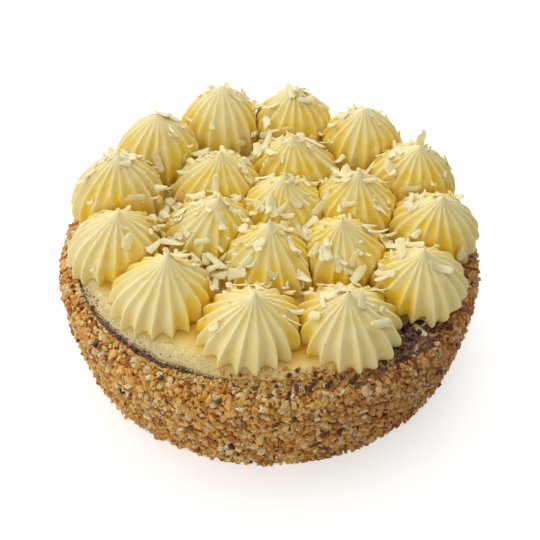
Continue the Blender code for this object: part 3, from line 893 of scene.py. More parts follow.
rings, raised = body_rings()
nutty_ground = make_finish("nutty ground", 0.8, 0.3, nutty_colour, grain=(800.0, 0.5, 0.5, 0.8))
cake_body = ring_piece("cake_body", rings, nutty_ground, "chopped_nuts", ("nut_coated_cake",), raised=raised)

# %% [markdown]
# ## Blocks for the grains
#
# A chopped nut is an angular chip with a few flat cuts. Modelling one and copying it would show, so
# every chip is cut from a block of its own. All that the chips share is the directions to the
# block's outer points and its faces. Large chips are built on 26 directions and 24 faces, fine dust
# on 8 directions and 6 faces.

# %% Directions and faces of a block
def block_of_quads(steps):
    """Directions to the outer points of a block with steps points a side, and its outward quads."""
    line = np.linspace(-1.0, 1.0, steps)
    block = np.stack(np.meshgrid(line, line, line, indexing="ij"), axis=-1).reshape(-1, 3)
    outer = np.isclose(np.abs(block).max(axis=1), 1.0)
    quads = []
    for axis in range(3):
        stride = [steps * steps, steps, 1]
        fixed = stride.pop(axis)
        for side in (0, steps - 1):
            for a in range(steps - 1):
                for b in range(steps - 1):
                    corner = fixed * side + stride[0] * a + stride[1] * b
                    quads.append([corner, corner + stride[0], corner + sum(stride), corner + stride[1]])
    quads = np.array(quads)
    normal = np.cross(block[quads[:, 1]] - block[quads[:, 0]], block[quads[:, 2]] - block[quads[:, 0]])
    inwards = np.sum(normal * block[quads].mean(axis=1), axis=1) < 0
    quads[inwards] = quads[inwards][:, ::-1]
    directions = block[outer]
    return directions / np.linalg.norm(directions, axis=1, keepdims=True), (np.cumsum(outer) - 1)[quads]


CHIP = block_of_quads(3)
DUST = block_of_quads(2)
print("a chip has", len(CHIP[1]), "faces, a grain of dust", len(DUST[1]))

# %% [markdown]
# ## Chopped grains
#
# All chips are cut at once. The side of a block is 0.8 / max|d| away in direction d. Where a cut
# lies at distance h along its normal n, a point in direction d may be no further out than
# h / (n.d). Each chip gets its own cuts, proportions and turn, so no two are the same, and one
# colour, which is stored on its points.

# %% A cloud of chopped grains
CUTS_EACH = 5
LEAST_HEIGHT = 0.05 * MM
# Painted shade: grains get darker and browner towards the right, away from the key light.
RIGHT_SIDE_SHADE = np.array([0.29, 0.38, 0.36])
RIGHT_SIDE_SHADE_RANGE = (-20.0 * MM, 85.0 * MM)


def random_turns(normals, tilt, rng):
    """Three axes for each grain, the third within about tilt of its normal, the first at random."""
    third = normals + tilt * rng.normal(size=normals.shape)
    third /= np.linalg.norm(third, axis=1, keepdims=True)
    first = np.cross(third, rng.normal(size=normals.shape))
    first /= np.linalg.norm(first, axis=1, keepdims=True)
    return np.stack([first, np.cross(third, first), third], axis=1)


def chopped_grains(centres, normals, sizes, rng, kind, tilt):
    """Points and quads of many grains. sizes are half lengths in metres, one for each centre."""
    directions, faces = kind
    count = len(centres)
    planes = rng.normal(size=(count, CUTS_EACH, 3))
    planes /= np.linalg.norm(planes, axis=2, keepdims=True)
    offsets = rng.uniform(0.5, 0.95, size=(count, CUTS_EACH, 1))
    facing = planes @ directions.T
    cut = np.where(facing > 0.05, offsets / np.maximum(facing, 0.05), 9.0).min(axis=1)
    block = 0.8 / np.abs(directions).max(axis=1)
    reach = np.minimum(np.minimum(cut, block), 1.2) * rng.uniform(0.88, 1.1, size=(count, len(directions)))
    half = np.stack([np.ones(count), rng.uniform(0.55, 0.95, count), rng.uniform(0.4, 0.75, count)], axis=1)
    shape = directions * reach[..., None] * (half * sizes[:, None])[:, None, :]
    points = centres[:, None, :] + shape @ random_turns(normals, tilt, rng)
    quads = faces[None] + (np.arange(count) * len(directions))[:, None, None]
    return points.reshape(-1, 3), quads.reshape(-1, 4)


def grain_tones(centres, low, high, rng, points_each):
    """A colour between low and high for each grain, a little lighter or darker, on all its points.

    Grains get darker and browner towards the right: painted shade on the side away from the key light.
    """
    between = rng.uniform(0.0, 1.0, size=(len(centres), 1))
    light = rng.uniform(0.85, 1.15, size=(len(centres), 1))
    tones = (np.array(low) * (1.0 - between) + np.array(high) * between) * light
    # Painted shade: darker towards the right, away from the key light.
    tones = tones * (1.0 - RIGHT_SIDE_SHADE * smooth_step(*RIGHT_SIDE_SHADE_RANGE, centres[:, :1]))
    tones = np.append(np.clip(tones, 0.0, 1.0), np.ones_like(between), axis=1)
    return np.repeat(tones, points_each, axis=0)


def grain_cloud(name, centres, normals, sizes, tones, rng, kind=CHIP, tilt=0.5):
    """A mesh of many grains, none of them below the table, each with a tone between two colours."""
    points, quads = chopped_grains(centres, normals, sizes, rng, kind, tilt)
    points[:, 2] = np.maximum(points[:, 2], FLOOR_Z + LEAST_HEIGHT)
    return mesh_from_arrays(name, points, [quads], tone=grain_tones(centres, *tones, rng, len(kind[0])))


print("cuts on each grain:", CUTS_EACH)

# %% [markdown]
# ## Where the nuts stick
#
# The baker presses handfuls of chopped nuts against the side, so they cover it evenly but without
# any pattern. Purely random places leave holes and heaps. So the coat is cut into cells of one
# grain each, with a random place inside each cell, and a thinner second layer lies loosely on top.

# %% Places for the grains
CELL = 2.1 * MM
TOP_CELL = 3.4 * MM
BED_LIFT_MM = (-1.0, -0.2)
TOP_LIFT_MM = (-0.1, 0.4)
coat_shares = np.linspace(0.0, 1.0, 400)
coat_radius, coat_height = coat_outline(coat_shares)
coat_length = np.append(0.0, np.cumsum(np.hypot(np.diff(coat_radius), np.diff(coat_height))))


def places_on_coat(cell, lift_mm, rng):
    """One place in every cell of the coat, as centres and outward normals.

    The outline is cut into rows one cell high, each row into as many cells as fit round it, and
    the place is drawn evenly inside the cell. A lift between two limits moves it off the coat.
    """
    rows = int(round(coat_length[-1] / cell))
    row_middle = (np.arange(rows) + 0.5) * coat_length[-1] / rows
    columns = np.round(2.0 * math.pi * np.interp(row_middle, coat_length, coat_radius) / cell).astype(int)
    row = np.repeat(np.arange(rows), columns)
    column = np.concatenate([np.arange(n) for n in columns])
    length = (row + rng.uniform(0.0, 1.0, len(row))) * coat_length[-1] / rows
    clock = (column + rng.uniform(0.0, 1.0, len(row))) * 360.0 / columns[row]
    slope_out = np.interp(length, coat_length, np.gradient(coat_height, coat_length))
    slope_up = -np.interp(length, coat_length, np.gradient(coat_radius, coat_length))
    normals = round_points(clock, slope_out, slope_up)
    normals /= np.linalg.norm(normals, axis=1, keepdims=True)
    radius, height = (np.interp(length, coat_length, line) for line in (coat_radius, coat_height))
    lift = rng.uniform(*lift_mm, len(row)) * MM
    return round_points(clock, radius, height) + normals * lift[:, None], normals


nut_rng = np.random.default_rng(71)
bed_places = places_on_coat(CELL, BED_LIFT_MM, nut_rng)
top_places = places_on_coat(TOP_CELL, TOP_LIFT_MM, nut_rng)
print(len(bed_places[0]), "chips in the bed and", len(top_places[0]), "on top")

# %% [markdown]
# ## Chips on the rim
#
# Some chips have fallen over the rim onto the edge of the cream, most of them at the front, where
# they are piled against it. So each one needs the height of what it lies on: the cream as far as
# it reaches, and beyond its ragged edge the rim.

# %% Places on the rim, and the size of every chip
RIM_CHIPS = 1900
FRONT_SHARE = 0.55
USUAL_CHIP_MM = 1.55
CHIP_SIZES_MM = (0.85, 2.6)
RIM_CHIP_SIZES_MM = (0.5, 1.4)
PILE_HEIGHT = 1.3 * MM
PILE_REACH = 1.6 * MM


def cream_edge_at(clock):
    """Radius at which the bed of cream ends, at a clock angle."""
    return np.interp(clock % 360.0, cream_clocks, edge_radius)


def lying_height(clock, radius, beyond, lift):
    """Height of things near the rim: on the cream, or at height beyond where it has ended.

    At the front they lie higher, on the grains that are piled against the edge of the cream.
    """
    outside = radius - cream_edge_at(clock)
    on_cream = cream_top_height(round_points(clock, radius, 0.0), 0.0)
    pile = np.where(outside > 0, np.exp(-(outside / PILE_REACH) ** 2), 0.0)
    return np.where(outside < 0, on_cream, beyond) + lift + PILE_HEIGHT * near_clock(clock, 16.0, 30.0) * pile


def places_on_rim(count, rng):
    """Places on the inner edge of the coat and on the first millimetres of the cream."""
    front = rng.uniform(0.0, 1.0, count) < FRONT_SHARE
    clock = np.where(front, rng.normal(8.0, 20.0, count), rng.uniform(-180.0, 180.0, count))
    reach_in = 0.3 + 2.4 * near_clock(clock, 4.0, 25.0)
    radius = (92.4 - np.abs(rng.normal(0.0, 1.0, count)) * reach_in) * MM
    height = lying_height(clock, radius, RIM_Z, rng.uniform(0.0, 0.5, count) * MM)
    return round_points(clock, radius, height), np.tile(UP, (count, 1))


rim_places = places_on_rim(RIM_CHIPS, nut_rng)
nut_centres, nut_normals = (np.concatenate(group) for group in zip(bed_places, top_places, rim_places))
coat_count = len(nut_centres) - RIM_CHIPS
nut_sizes = np.clip(nut_rng.lognormal(math.log(USUAL_CHIP_MM), 0.28, coat_count), *CHIP_SIZES_MM)
nut_sizes = np.append(nut_sizes, nut_rng.uniform(*RIM_CHIP_SIZES_MM, RIM_CHIPS)) * MM
print(len(nut_centres), "chips,", RIM_CHIPS, "of them on the rim")

# %% [markdown]
# ## Finish of the nuts
#
# The colour of a grain is drawn once and stored on its points, so one material serves all five
# kinds, which are drawn at random in the shares that the coat shows. On each grain, noise adds the
# darker streaks of roasting. Nuts are oily, so they have a soft gloss and let a little light through.

# %% Kinds of nut
NUT_KINDS = {
    "golden_nuts": (0.335, (0.86, 0.460, 0.100), (0.97, 0.610, 0.170)),
    "toasted_nuts": (0.28, (0.70, 0.320, 0.056), (0.84, 0.440, 0.092)),
    "pale_nuts": (0.24, (0.90, 0.650, 0.310), (0.95, 0.790, 0.500)),
    "brown_skin_nuts": (0.125, (0.37, 0.105, 0.020), (0.54, 0.195, 0.040)),
    "dark_nuts": (0.02, (0.07, 0.025, 0.012), (0.16, 0.055, 0.020)),
}
ROASTED_COLOUR = (0.25, 0.10, 0.03)
NUT_REACH = (1.0, 0.55, 0.2)


def nut_colour(tree):
    """The grain's own tone, with patches of it that were roasted darker."""
    tone = point_value(tree, "tone", "Color")
    return mottled(tree, tone, mix_colour(tree, 0.55, tone, ROASTED_COLOUR), size=700.0, amount=0.35)


chopped_nuts = make_finish("chopped nuts", 0.5, 0.5, nut_colour,
                           grain=(1100.0, 0.4, 0.15, 0.6), soft=(0.35, 1.5, NUT_REACH))
kind_draw = nut_rng.uniform(0.0, 1.0, len(nut_centres))
share_below = 0.0
for kind, (share, *tones) in NUT_KINDS.items():
    mine = (kind_draw >= share_below) & (kind_draw < share_below + share)
    share_below += share
    mesh = grain_cloud(kind, nut_centres[mine], nut_normals[mine], nut_sizes[mine], tones, nut_rng)
    add_piece(mesh, chopped_nuts, sharp_angle=30.0)

# %% [markdown]
# ## Dust between the chips
#
# Chopping also makes fine grit, which settles in the hollows between the chips. Each grain is put
# beside a chip of the coat, moved along the coat and a little outwards, and has only six faces.

# %% Fine dust between the chips
DUST_GRAINS = 9000
DUST_TONES = ((0.58, 0.30, 0.070), (0.92, 0.70, 0.380))
DUST_SPREAD = 1.1 * MM
DUST_LEAST_HEIGHT = 0.8 * MM
dust_pick = nut_rng.integers(0, coat_count, DUST_GRAINS)
dust_normals = nut_normals[dust_pick]
dust_shift = nut_rng.normal(0.0, DUST_SPREAD, (DUST_GRAINS, 3))
dust_shift -= dust_normals * np.sum(dust_shift * dust_normals, axis=1, keepdims=True)
dust_centres = nut_centres[dust_pick] + dust_shift
dust_centres += dust_normals * nut_rng.uniform(0.2, 0.7, (DUST_GRAINS, 1)) * MM
dust_centres[:, 2] = np.maximum(dust_centres[:, 2], FLOOR_Z + DUST_LEAST_HEIGHT)
dust_sizes = nut_rng.uniform(0.25, 0.65, DUST_GRAINS) * MM
mesh = grain_cloud("nut_dust", dust_centres, dust_normals, dust_sizes, DUST_TONES, nut_rng, DUST)
add_piece(mesh, chopped_nuts, sharp_angle=30.0)

# %% [markdown]
# ## Crumbs along the rim
#
# Where the sponge was cut, crumbs of it lie along the line between cream and nuts, and some have
# been carried onto the cream. They are cut from blocks as the nuts are, only turned more at random.
# Small ones follow the whole rim, more lie on the bare patch, and a few large dark ones are listed
# one by one.

# %% Scatter the crumbs
DARK_CRUMBS = 3400
PATCH_CRUMBS = 520
CUT_LINE_MM = 90.3
CRUMB_LIFT = 0.15 * MM
LARGE_LIFT = 0.9 * MM
DARK_TONES = ((0.20, 0.10, 0.075), (0.52, 0.34, 0.265))
RED_TONES = ((0.075, 0.025, 0.018), (0.30, 0.11, 0.065))

# large crumbs: clock, radius in mm, half length in mm
LARGE_CRUMBS = [
    (5.0, 88.0, 1.7), (6.5, 91.5, 2.1), (9.5, 92.5, 1.9), (13.0, 89.5, 1.5), (15.5, 91.5, 1.4),
    (18.5, 91.0, 1.7), (20.5, 89.6, 1.5), (23.5, 90.5, 1.7), (26.5, 90.3, 1.6), (31.0, 91.2, 1.5),
    (35.5, 93.0, 1.9), (38.0, 89.0, 2.2), (40.5, 86.5, 2.4), (43.5, 84.5, 2.0), (46.0, 88.5, 1.9),
    (50.5, 91.0, 1.6), (53.0, 96.5, 1.9), (57.0, 93.0, 1.5), (2.0, 91.0, 1.2), (12.0, 88.2, 1.4),
    (14.5, 93.0, 1.3), (17.0, 89.5, 1.2), (22.0, 92.5, 1.3), (25.0, 88.6, 1.3), (28.5, 92.5, 1.6),
    (29.5, 89.0, 1.4), (33.0, 90.0, 1.8), (34.0, 92.6, 1.3), (356.5, 91.5, 1.6), (0.5, 94.5, 1.5),
    (61.0, 92.5, 1.9), (66.0, 93.5, 1.6), (41.0, 90.5, 2.2), (48.5, 92.5, 2.0), (7.5, 86.0, 1.3),
    (11.0, 90.6, 1.9), (301.0, 90.5, 1.3), (322.0, 90.8, 1.2), (336.0, 91.0, 1.3), (351.0, 90.9, 1.4)]


def add_crumbs(name, places, tones, finish, kind=CHIP, lift=CRUMB_LIFT, sharp_angle=35.0):
    """Crumbs on the cream, the sponge or the coat. places are clock angles, radii and sizes in mm."""
    clocks, radii, sizes = places[0], places[1] * MM, places[2] * MM
    rim_part = coat_shares >= WALL_SHARE
    on_coat = np.interp(radii, coat_radius[rim_part][::-1], coat_height[rim_part][::-1])
    centres = round_points(clocks, radii, lying_height(clocks, radii, on_coat, lift))
    normals = np.tile(UP, (len(centres), 1))
    mesh = grain_cloud(name, centres, normals, sizes, tones, crumb_rng, kind, tilt=0.8)
    add_piece(mesh, finish, sharp_angle=sharp_angle)


def crumb_finish(name, patches, height_mm):
    """The crumb's own tone with patches, and a bump of a height in mm."""
    def colour(tree):
        return mottled(tree, point_value(tree, "tone", "Color"), patches, size=900.0, amount=0.5)

    return make_finish(name, 0.7, 0.35, colour, grain=(1200.0, 0.5, height_mm, 0.6))


crumb_rng = np.random.default_rng(81)
sponge_crumb = crumb_finish("sponge crumbs", (0.05, 0.025, 0.022), 0.2)
places = (crumb_rng.uniform(0.0, 360.0, DARK_CRUMBS),
          CUT_LINE_MM + crumb_rng.normal(0.0, 1.15, DARK_CRUMBS),
          crumb_rng.uniform(0.25, 0.75, DARK_CRUMBS))
add_crumbs("sponge_crumbs", places, DARK_TONES, sponge_crumb, DUST)
places = (crumb_rng.normal(41.0, 7.0, PATCH_CRUMBS), crumb_rng.uniform(79.0, 95.5, PATCH_CRUMBS),
          crumb_rng.uniform(0.5, 1.5, PATCH_CRUMBS))
add_crumbs("patch_crumbs", places, DARK_TONES, sponge_crumb)
add_crumbs("large_crumbs", np.array(LARGE_CRUMBS).T, RED_TONES, sponge_crumb, lift=LARGE_LIFT)

# %% [markdown]
# ## Bits of scraped cream
#
# The knife has also left bits of cream along the rim, most of them on the left, where it scraped.
# They lie further in there, and elsewhere only at the very edge of the cream.

# %% Scatter the bits of cream
CREAM_CRUMBS = 4200
LEFT_SHARE = 0.85
PALE_TONES = ((0.95, 0.79, 0.42), (0.98, 0.88, 0.58))
left = crumb_rng.uniform(0.0, 1.0, CREAM_CRUMBS) < LEFT_SHARE
scraped_clocks = crumb_rng.normal(316.0, 20.0, CREAM_CRUMBS)
clocks = np.where(left, scraped_clocks, crumb_rng.uniform(0.0, 360.0, CREAM_CRUMBS))
inwards = np.abs(crumb_rng.normal(0.0, 1.0, CREAM_CRUMBS)) * np.where(left, 2.8, 0.6)
places = (clocks, cream_edge_at(clocks) / MM + 0.7 - inwards, crumb_rng.uniform(0.18, 0.5, CREAM_CRUMBS))
cream_crumb = crumb_finish("cream crumbs", (0.86, 0.66, 0.34), 0.08)
add_crumbs("cream_crumbs", places, PALE_TONES, cream_crumb, DUST, sharp_angle=60.0)

# %% [markdown]
# ## White chocolate shavings
#
# They are scraped from a bar: thin strips, rounded on top, with ends that curl away from the cream.
# They lie where they fell, one to seven on each rosette. Each strip is a rounded rectangle carried
# along a shallow arc. Its place is given on the rosette that carries it, by a clock angle and a
# level, so that it stays on the cream if the rosette changes.

# %% Where the shavings lie
HIGHEST_SLOPE = 0.95
LEVEL_STEP = 0.02
CLOCK_STEP = 2.0

# rosette: clock on it, level up its side (0 foot, 1 tip), length and width in mm, heading (0 lies
# across the side, 90 points uphill) and lift off the side in degrees
SHAVINGS = {
    "outer_01": [(198, 0.39, 8, 2.5, 0, 10)],
    "outer_02": [(218, 0.69, 8, 3.0, 88, 10), (84, 0.73, 8, 4.0, 10, 15), (88, 0.58, 5, 2.2, 30, 40),
        (58, 0.5, 13, 3.5, 150, 10), (286, 0.52, 7, 4.0, 45, 10), (206, 0.41, 8, 4.0, 15, 20),
        (204, 0.78, 8, 4.0, 5, 25)],
    "outer_03": [(282, 0.47, 12, 3.3, 50, 5)],
    "outer_04": [(26, 0.26, 9, 5.0, 130, 20), (202, 0.82, 8, 3.2, 40, 10)],
    "outer_05": [(236, 0.44, 10, 3.5, 80, 35), (166, 0.9, 7, 4.0, 90, 75), (106, 0.51, 8, 4.5, 50, 10),
        (346, 0.48, 10, 3.3, 5, 5)],
    "outer_06": [(122, 0.53, 9, 3.5, 40, 10), (86, 0.44, 9, 4.2, 98, 10), (250, 0.43, 7, 3.8, 30, 10)],
    "outer_07": [(316, 0.4, 8, 3.7, 40, 10), (350, 0.54, 7, 2.5, 175, 10)],
    "outer_08": [(30, 0.34, 6, 3.0, 155, 15), (68, 0.86, 10, 2.5, 105, 5), (56, 0.37, 9, 3.0, 165, 10)],
    "outer_09": [(90, 0.45, 9, 3.5, 125, 10), (50, 0.42, 5, 2.8, 100, 15), (6, 0.5, 11, 3.5, 115, 0),
        (110, 0.85, 9, 4.2, 115, 5)],
    "outer_10": [(150, 0.83, 9, 4.0, 10, 10), (36, 0.53, 10, 3.0, 168, 5), (70, 0.3, 10, 3.8, 133, 15)],
    "outer_11": [(100, 0.46, 9, 2.8, 140, 10), (98, 0.3, 10, 3.3, 140, 15), (30, 0.61, 8, 4.0, 56, 30)],
    "outer_12": [(174, 0.88, 8, 2.8, 62, 15), (94, 0.36, 8, 3.9, 130, 25)],
    "inner_1": [(276, 0.3, 8, 3.0, 60, 10), (70, 0.76, 6, 2.7, 120, 5), (316, 0.35, 14, 4.6, 28, 20),
        (2, 0.43, 6, 3.0, 148, 30)],
    "inner_2": [(112, 0.57, 7, 3.6, 137, 10), (302, 0.5, 8, 3.4, 90, 10), (318, 0.58, 7, 3.3, 37, 10),
        (16, 0.5, 9, 2.8, 66, 50)],
    "inner_3": [(282, 0.54, 6, 3.3, 116, 10), (338, 0.6, 7, 2.5, 20, 10), (258, 0.78, 10, 3.0, 90, 10)],
    "inner_4": [(224, 0.39, 10, 3.5, 30, 20), (268, 0.51, 8, 2.8, 0, 15), (146, 0.45, 10, 3.8, 93, 10),
        (64, 0.54, 8, 3.1, 108, 10), (190, 0.85, 7, 3.0, 20, 25)],
    "inner_5": [(218, 0.85, 6, 2.5, 0, 20), (88, 0.62, 9, 4.0, 20, 10), (66, 0.52, 6, 2.7, 109, 10)],
    "inner_6": [(118, 0.82, 8, 4.8, 34, 5), (218, 0.41, 13, 3.0, 88, 5), (312, 0.48, 6, 2.6, 165, 10),
        (346, 0.46, 8, 2.8, 20, 10)],
    "centre": [(308, 0.53, 7, 3.8, 170, 15), (28, 0.63, 7, 3.8, 113, 10), (354, 0.58, 6, 2.5, 40, 20)],
}
print(sum(len(places) for places in SHAVINGS.values()), "shavings")

# %% [markdown]
# ## One shaving
#
# A knife drawn over a bar lifts a thin strip that curls. So a shaving is a flat cross section carried
# along an arc of a circle. Its edges are ragged, one end is cut at a slant, and it twists a little.

# %% Shape a strip
SHAVING_THICKNESS = 0.75 * MM
EDGE_WAVE = 0.07
MOST_SLANT = 0.3
MOST_TWIST = 0.3


def ragged_edge(s, rng):
    """Half width of one edge along a strip, as a share: two random waves on a slow taper."""
    wave = np.sin(s * rng.uniform(3.0, 6.0) + rng.uniform(0.0, 6.0))
    wave = wave + 0.6 * np.sin(s * rng.uniform(9.0, 15.0) + rng.uniform(0.0, 6.0))
    return 1.0 + EDGE_WAVE * wave + rng.uniform(-0.4, 0.1) * s


def shaving_rings(spot, along, side, face, length, width, curl, rng, rows=12, columns=10):
    """Rings of one strip. With s from -1 to 1 along it, x and y round its cross section:

    the middle line is an arc of a circle that turns by curl from the middle to each end, the two
    edges are ragged and independent, one end is cut at a slant, the strip is thinner towards its
    edges and ends, and fine grooves from the knife run along its top.
    """
    s = np.linspace(-1.0, 1.0, rows)[:, None]
    v = np.arange(columns) * 2.0 * math.pi / columns
    x = np.sign(np.cos(v)) * np.abs(np.cos(v)) ** 0.6
    y = np.sign(np.sin(v)) * np.abs(np.sin(v)) ** 0.8
    reach = np.where(x > 0, ragged_edge(s, rng), ragged_edge(s, rng))
    ends = (1.0 - np.abs(s) ** 10) ** 0.3
    crosswise = x * reach * ends * width / 2
    slant = rng.uniform(-MOST_SLANT, MOST_SLANT) * width * x * smooth_step(0.3, 1.0, s)
    turn = curl * s + slant * 2.0 * curl / length
    lengthwise = np.sin(turn) / curl * length / 2
    grooves = 0.05 * MM * np.cos(x * rng.uniform(9.0, 13.0)) * (y > 0)
    upwards = y * SHAVING_THICKNESS / 2 * (1.0 - 0.45 * x ** 2) * (1.0 - 0.4 * s ** 6) + grooves
    lengthwise = lengthwise - upwards * np.sin(turn)
    upwards = upwards * np.cos(turn) + (1.0 - np.cos(turn)) / curl * length / 2
    upwards = upwards - rng.uniform(0.0, 0.3) * width * x ** 2 / 2
    twist = rng.uniform(-MOST_TWIST, MOST_TWIST) * s
    crosswise, upwards = crosswise - twist * upwards, upwards + twist * crosswise
    return spot + lengthwise[..., None] * along + crosswise[..., None] * side + upwards[..., None] * face


print("a strip is", SHAVING_THICKNESS / MM, "mm thick")

# %% [markdown]
# ## Laying the shavings down
#
# The directions along and across a shaving come from the slope of the rosette at its place. That
# place is known only roughly, so the shaving is held above the cream and then lowered until its
# first point has sunk a little into the mesh of the rosette, which a ray cast finds.

# %% Settle the shavings on their rosettes
SHAVING_CURL = 0.28
SHAVING_SINK = 0.4 * MM
SHAVING_DROP = 30.0 * MM


def shaving_axes(name, clock, level, heading, lift):
    """Resting point of a shaving and the directions along, across, out of it and off the cream."""
    def point(level_here, clock_here):
        return rosette_surface(name, np.array([level_here]), np.radians([clock_here]), np.zeros(1))[0]

    middle = min(level, HIGHEST_SLOPE)
    uphill = Vector(point(middle + LEVEL_STEP, clock) - point(middle - LEVEL_STEP, clock)).normalized()
    across = Vector(point(level, clock + CLOCK_STEP) - point(level, clock - CLOCK_STEP)).normalized()
    out = across.cross(uphill).normalized()
    turn = math.radians(heading)
    along = (across * math.cos(turn) + uphill * math.sin(turn)).normalized()
    rise = math.radians(lift)
    leaning = (along * math.cos(rise) + out * math.sin(rise)).normalized()
    side = out.cross(along).normalized()
    face = leaning.cross(side).normalized()
    return [np.array(v) for v in (point(level, clock), leaning, side, face, out)]


def search_tree(pieces):
    """A search tree over the faces of some pieces, in which a ray finds the first face it meets."""
    points, faces, first = [], [], 0
    for piece in pieces:
        points += [v.co for v in piece.data.vertices]
        faces += [[first + index for index in face.vertices] for face in piece.data.polygons]
        first = len(points)
    return BVHTree.FromPolygons(points, faces)


def settle(points, tree, out):
    """Lower points against out until the first one has sunk a little into the surface."""
    drops = []
    for point in points.reshape(-1, 3)[::3]:
        fall = tree.ray_cast(Vector(point + out * SHAVING_DROP), Vector(-out))[3]
        if fall is not None:
            drops.append(fall - SHAVING_DROP)
    return points - out * (min(drops) + SHAVING_SINK) if drops else points


def all_shavings():
    """Rings of every large shaving, settled on the rosette that carries it."""
    rng = random.Random(91)
    strips = []
    for name, places in SHAVINGS.items():
        name = "rosette_" + name
        tree = search_tree([rosette_pieces[name]])
        for clock, level, length, width, heading, lift in places:
            spot, along, side, face, out = shaving_axes(name, clock, level, heading, lift)
            rings = shaving_rings(spot, along, side, face, length * MM, width * MM, SHAVING_CURL, rng, 16, 14)
            strips.append(settle(rings, tree, out))
    return strips


large_shavings = all_shavings()
print("large shavings:", len(large_shavings))

# %% [markdown]
# ## Splinters
#
# When a bar is scraped, each large curl comes with many small splinters. They are strewn from above,
# so here each one falls straight down at a random place until it meets the cream, which a ray cast
# finds. It turns a little towards the slope that it lies on, and is lowered until it touches. What
# lands on a steep flank slides off, so the valleys fill up and the flanks stay clean. The front left
# of the real cake got only a few, and a rule for how many stay gives that.

# %% Strew the splinters
SPLINTERS = 500
STREWN_RADIUS = 88.0 * MM
STREWN_FROM = 0.2
STEEPEST = 0.40
SHORTEST_MM = 1.5
LONGEST_MM = 12.0
USUAL_MM = 5.0
WIDEST = 4.0 * MM
SPLINTER_CURLS = (0.08, 0.12, 0.2, 0.3, 0.5, 1.3)


def share_that_stays(x, y, z, front_facing):
    """Share of splinters that stay at a place: few at the front and on front flanks, more in valleys."""
    clock = math.degrees(math.atan2(x, -y))
    radius = math.hypot(x, y)
    bare = near_clock(clock, 328.0, 55.0, 6) * smooth_step(48.0 * MM, 60.0 * MM, radius)
    outer = near_clock(clock, 5.0, 98.0, 8) * smooth_step(62.0 * MM, 72.0 * MM, radius)
    valley = 1.0 - smooth_step(8.0 * MM, 20.0 * MM, z - CREAM_TOP_Z)
    flank = 0.8 * smooth_step(0.15, 0.45, front_facing) * (1.0 - 0.5 * valley)
    return (0.4 + 0.6 * valley) * (1.0 - 0.98 * max(bare, outer)) * (1.0 - flank)


def strewn_splinters(tree):
    """Rings of splinters 1.5 to 12 mm long, drawn by chance in place, size, turn and curl."""
    rng = random.Random(93)
    strips = []
    while len(strips) < SPLINTERS:
        radius = STREWN_RADIUS * math.sqrt(rng.random())
        step = clock_direction(rng.uniform(0.0, 360.0)) * radius
        spot, normal = tree.ray_cast(Vector((*step, STREWN_FROM)), Vector(-UP))[:2]
        if spot is None or normal.z < STEEPEST or rng.random() > share_that_stays(*spot, -normal.y):
            continue
        up = (normal * 0.6 + Vector((rng.gauss(0.0, 0.18), rng.gauss(0.0, 0.18), 0.4))).normalized()
        along = up.cross(Vector((rng.gauss(0.0, 1.0), rng.gauss(0.0, 1.0), 0.3))).normalized()
        along, side, face = (np.array(v) for v in (along, up.cross(along), up))
        length = min(LONGEST_MM, max(SHORTEST_MM, rng.lognormvariate(math.log(USUAL_MM), 0.5))) * MM
        width = min(WIDEST, length * rng.uniform(0.26, 0.62))
        curl = rng.choice(SPLINTER_CURLS)
        rings = shaving_rings(np.array(spot), along, side, face, length, width, curl, rng)
        strips.append(settle(rings, tree, UP))
    return strips


cream_tree = search_tree(list(rosette_pieces.values()) + [cream_bed])
splinters = strewn_splinters(cream_tree)
print("splinters:", len(splinters))

# %% [markdown]
# ## Skins on the rim
#
# Among the crumbs of the bare patch lie thin curled skins of nuts and three more splinters. They
# have the form of the shavings, only smaller. Each one lies flat at its place, is lowered onto what
# is there, and then rests on top of the crumbs.

# %% Lay strips on the rim
SKINS = 46
SKIN_RADII_MM = (80.0, 93.5)
SKIN_LENGTHS_MM = (3.0, 6.5)
SKIN_WIDTHS_MM = (1.2, 2.6)
SKIN_CURLS = (0.5, 0.9, 1.3)
SKIN_COLOUR = (0.13, 0.060, 0.038)
SKIN_PATCH = (0.36, 0.20, 0.12)
ON_CRUMBS = 1.3 * MM

# clock, radius in mm, heading, length and width in mm, curl
RIM_SPLINTERS = (
    (46.5, 88.5, -10.0, 8.5, 3.2, 0.15),
    (42.0, 86.0, 50.0, 5.0, 1.4, 0.4),
    (49.0, 87.5, 80.0, 4.0, 1.2, 0.3))


def lying_strip(clock, radius_mm, heading, length_mm, width_mm, curl):
    """Rings of one strip that lies at a place of the rim. The heading counts from outwards, in degrees."""
    place = np.append(clock_direction(clock) * radius_mm * MM, RIM_Z)
    along = np.append(clock_direction(clock + heading), skin_rng.uniform(-0.15, 0.25))
    along /= np.linalg.norm(along)
    side = np.cross(UP, along)
    side /= np.linalg.norm(side)
    face = np.cross(along, side)
    rings = shaving_rings(place, along, side, face, length_mm * MM, width_mm * MM, curl, skin_rng)
    return settle(rings, rim_tree, UP) + UP * ON_CRUMBS


def random_skin():
    """Rings of one skin at a random place of the bare patch."""
    clock = skin_rng.gauss(42.0, 6.0)
    limits = (SKIN_RADII_MM, (0.0, 360.0), SKIN_LENGTHS_MM, SKIN_WIDTHS_MM)
    radius, heading, length, width = (skin_rng.uniform(*pair) for pair in limits)
    return lying_strip(clock, radius, heading, length, width, skin_rng.choice(SKIN_CURLS))


def add_strips(name, strips, finish):
    """Many strips as one piece."""
    points, groups, first = [], [], 0
    for rings in strips:
        own_points, own_faces = ring_stack(rings)
        points.append(own_points)
        groups += [face + first for face in own_faces]
        first += len(own_points)
    add_piece(mesh_from_arrays(name, np.concatenate(points), groups), finish, sharp_angle=50.0)


def skin_colour(tree):
    """Dark brown with lighter patches."""
    return mottled(tree, SKIN_COLOUR, SKIN_PATCH, size=420.0, amount=0.7)


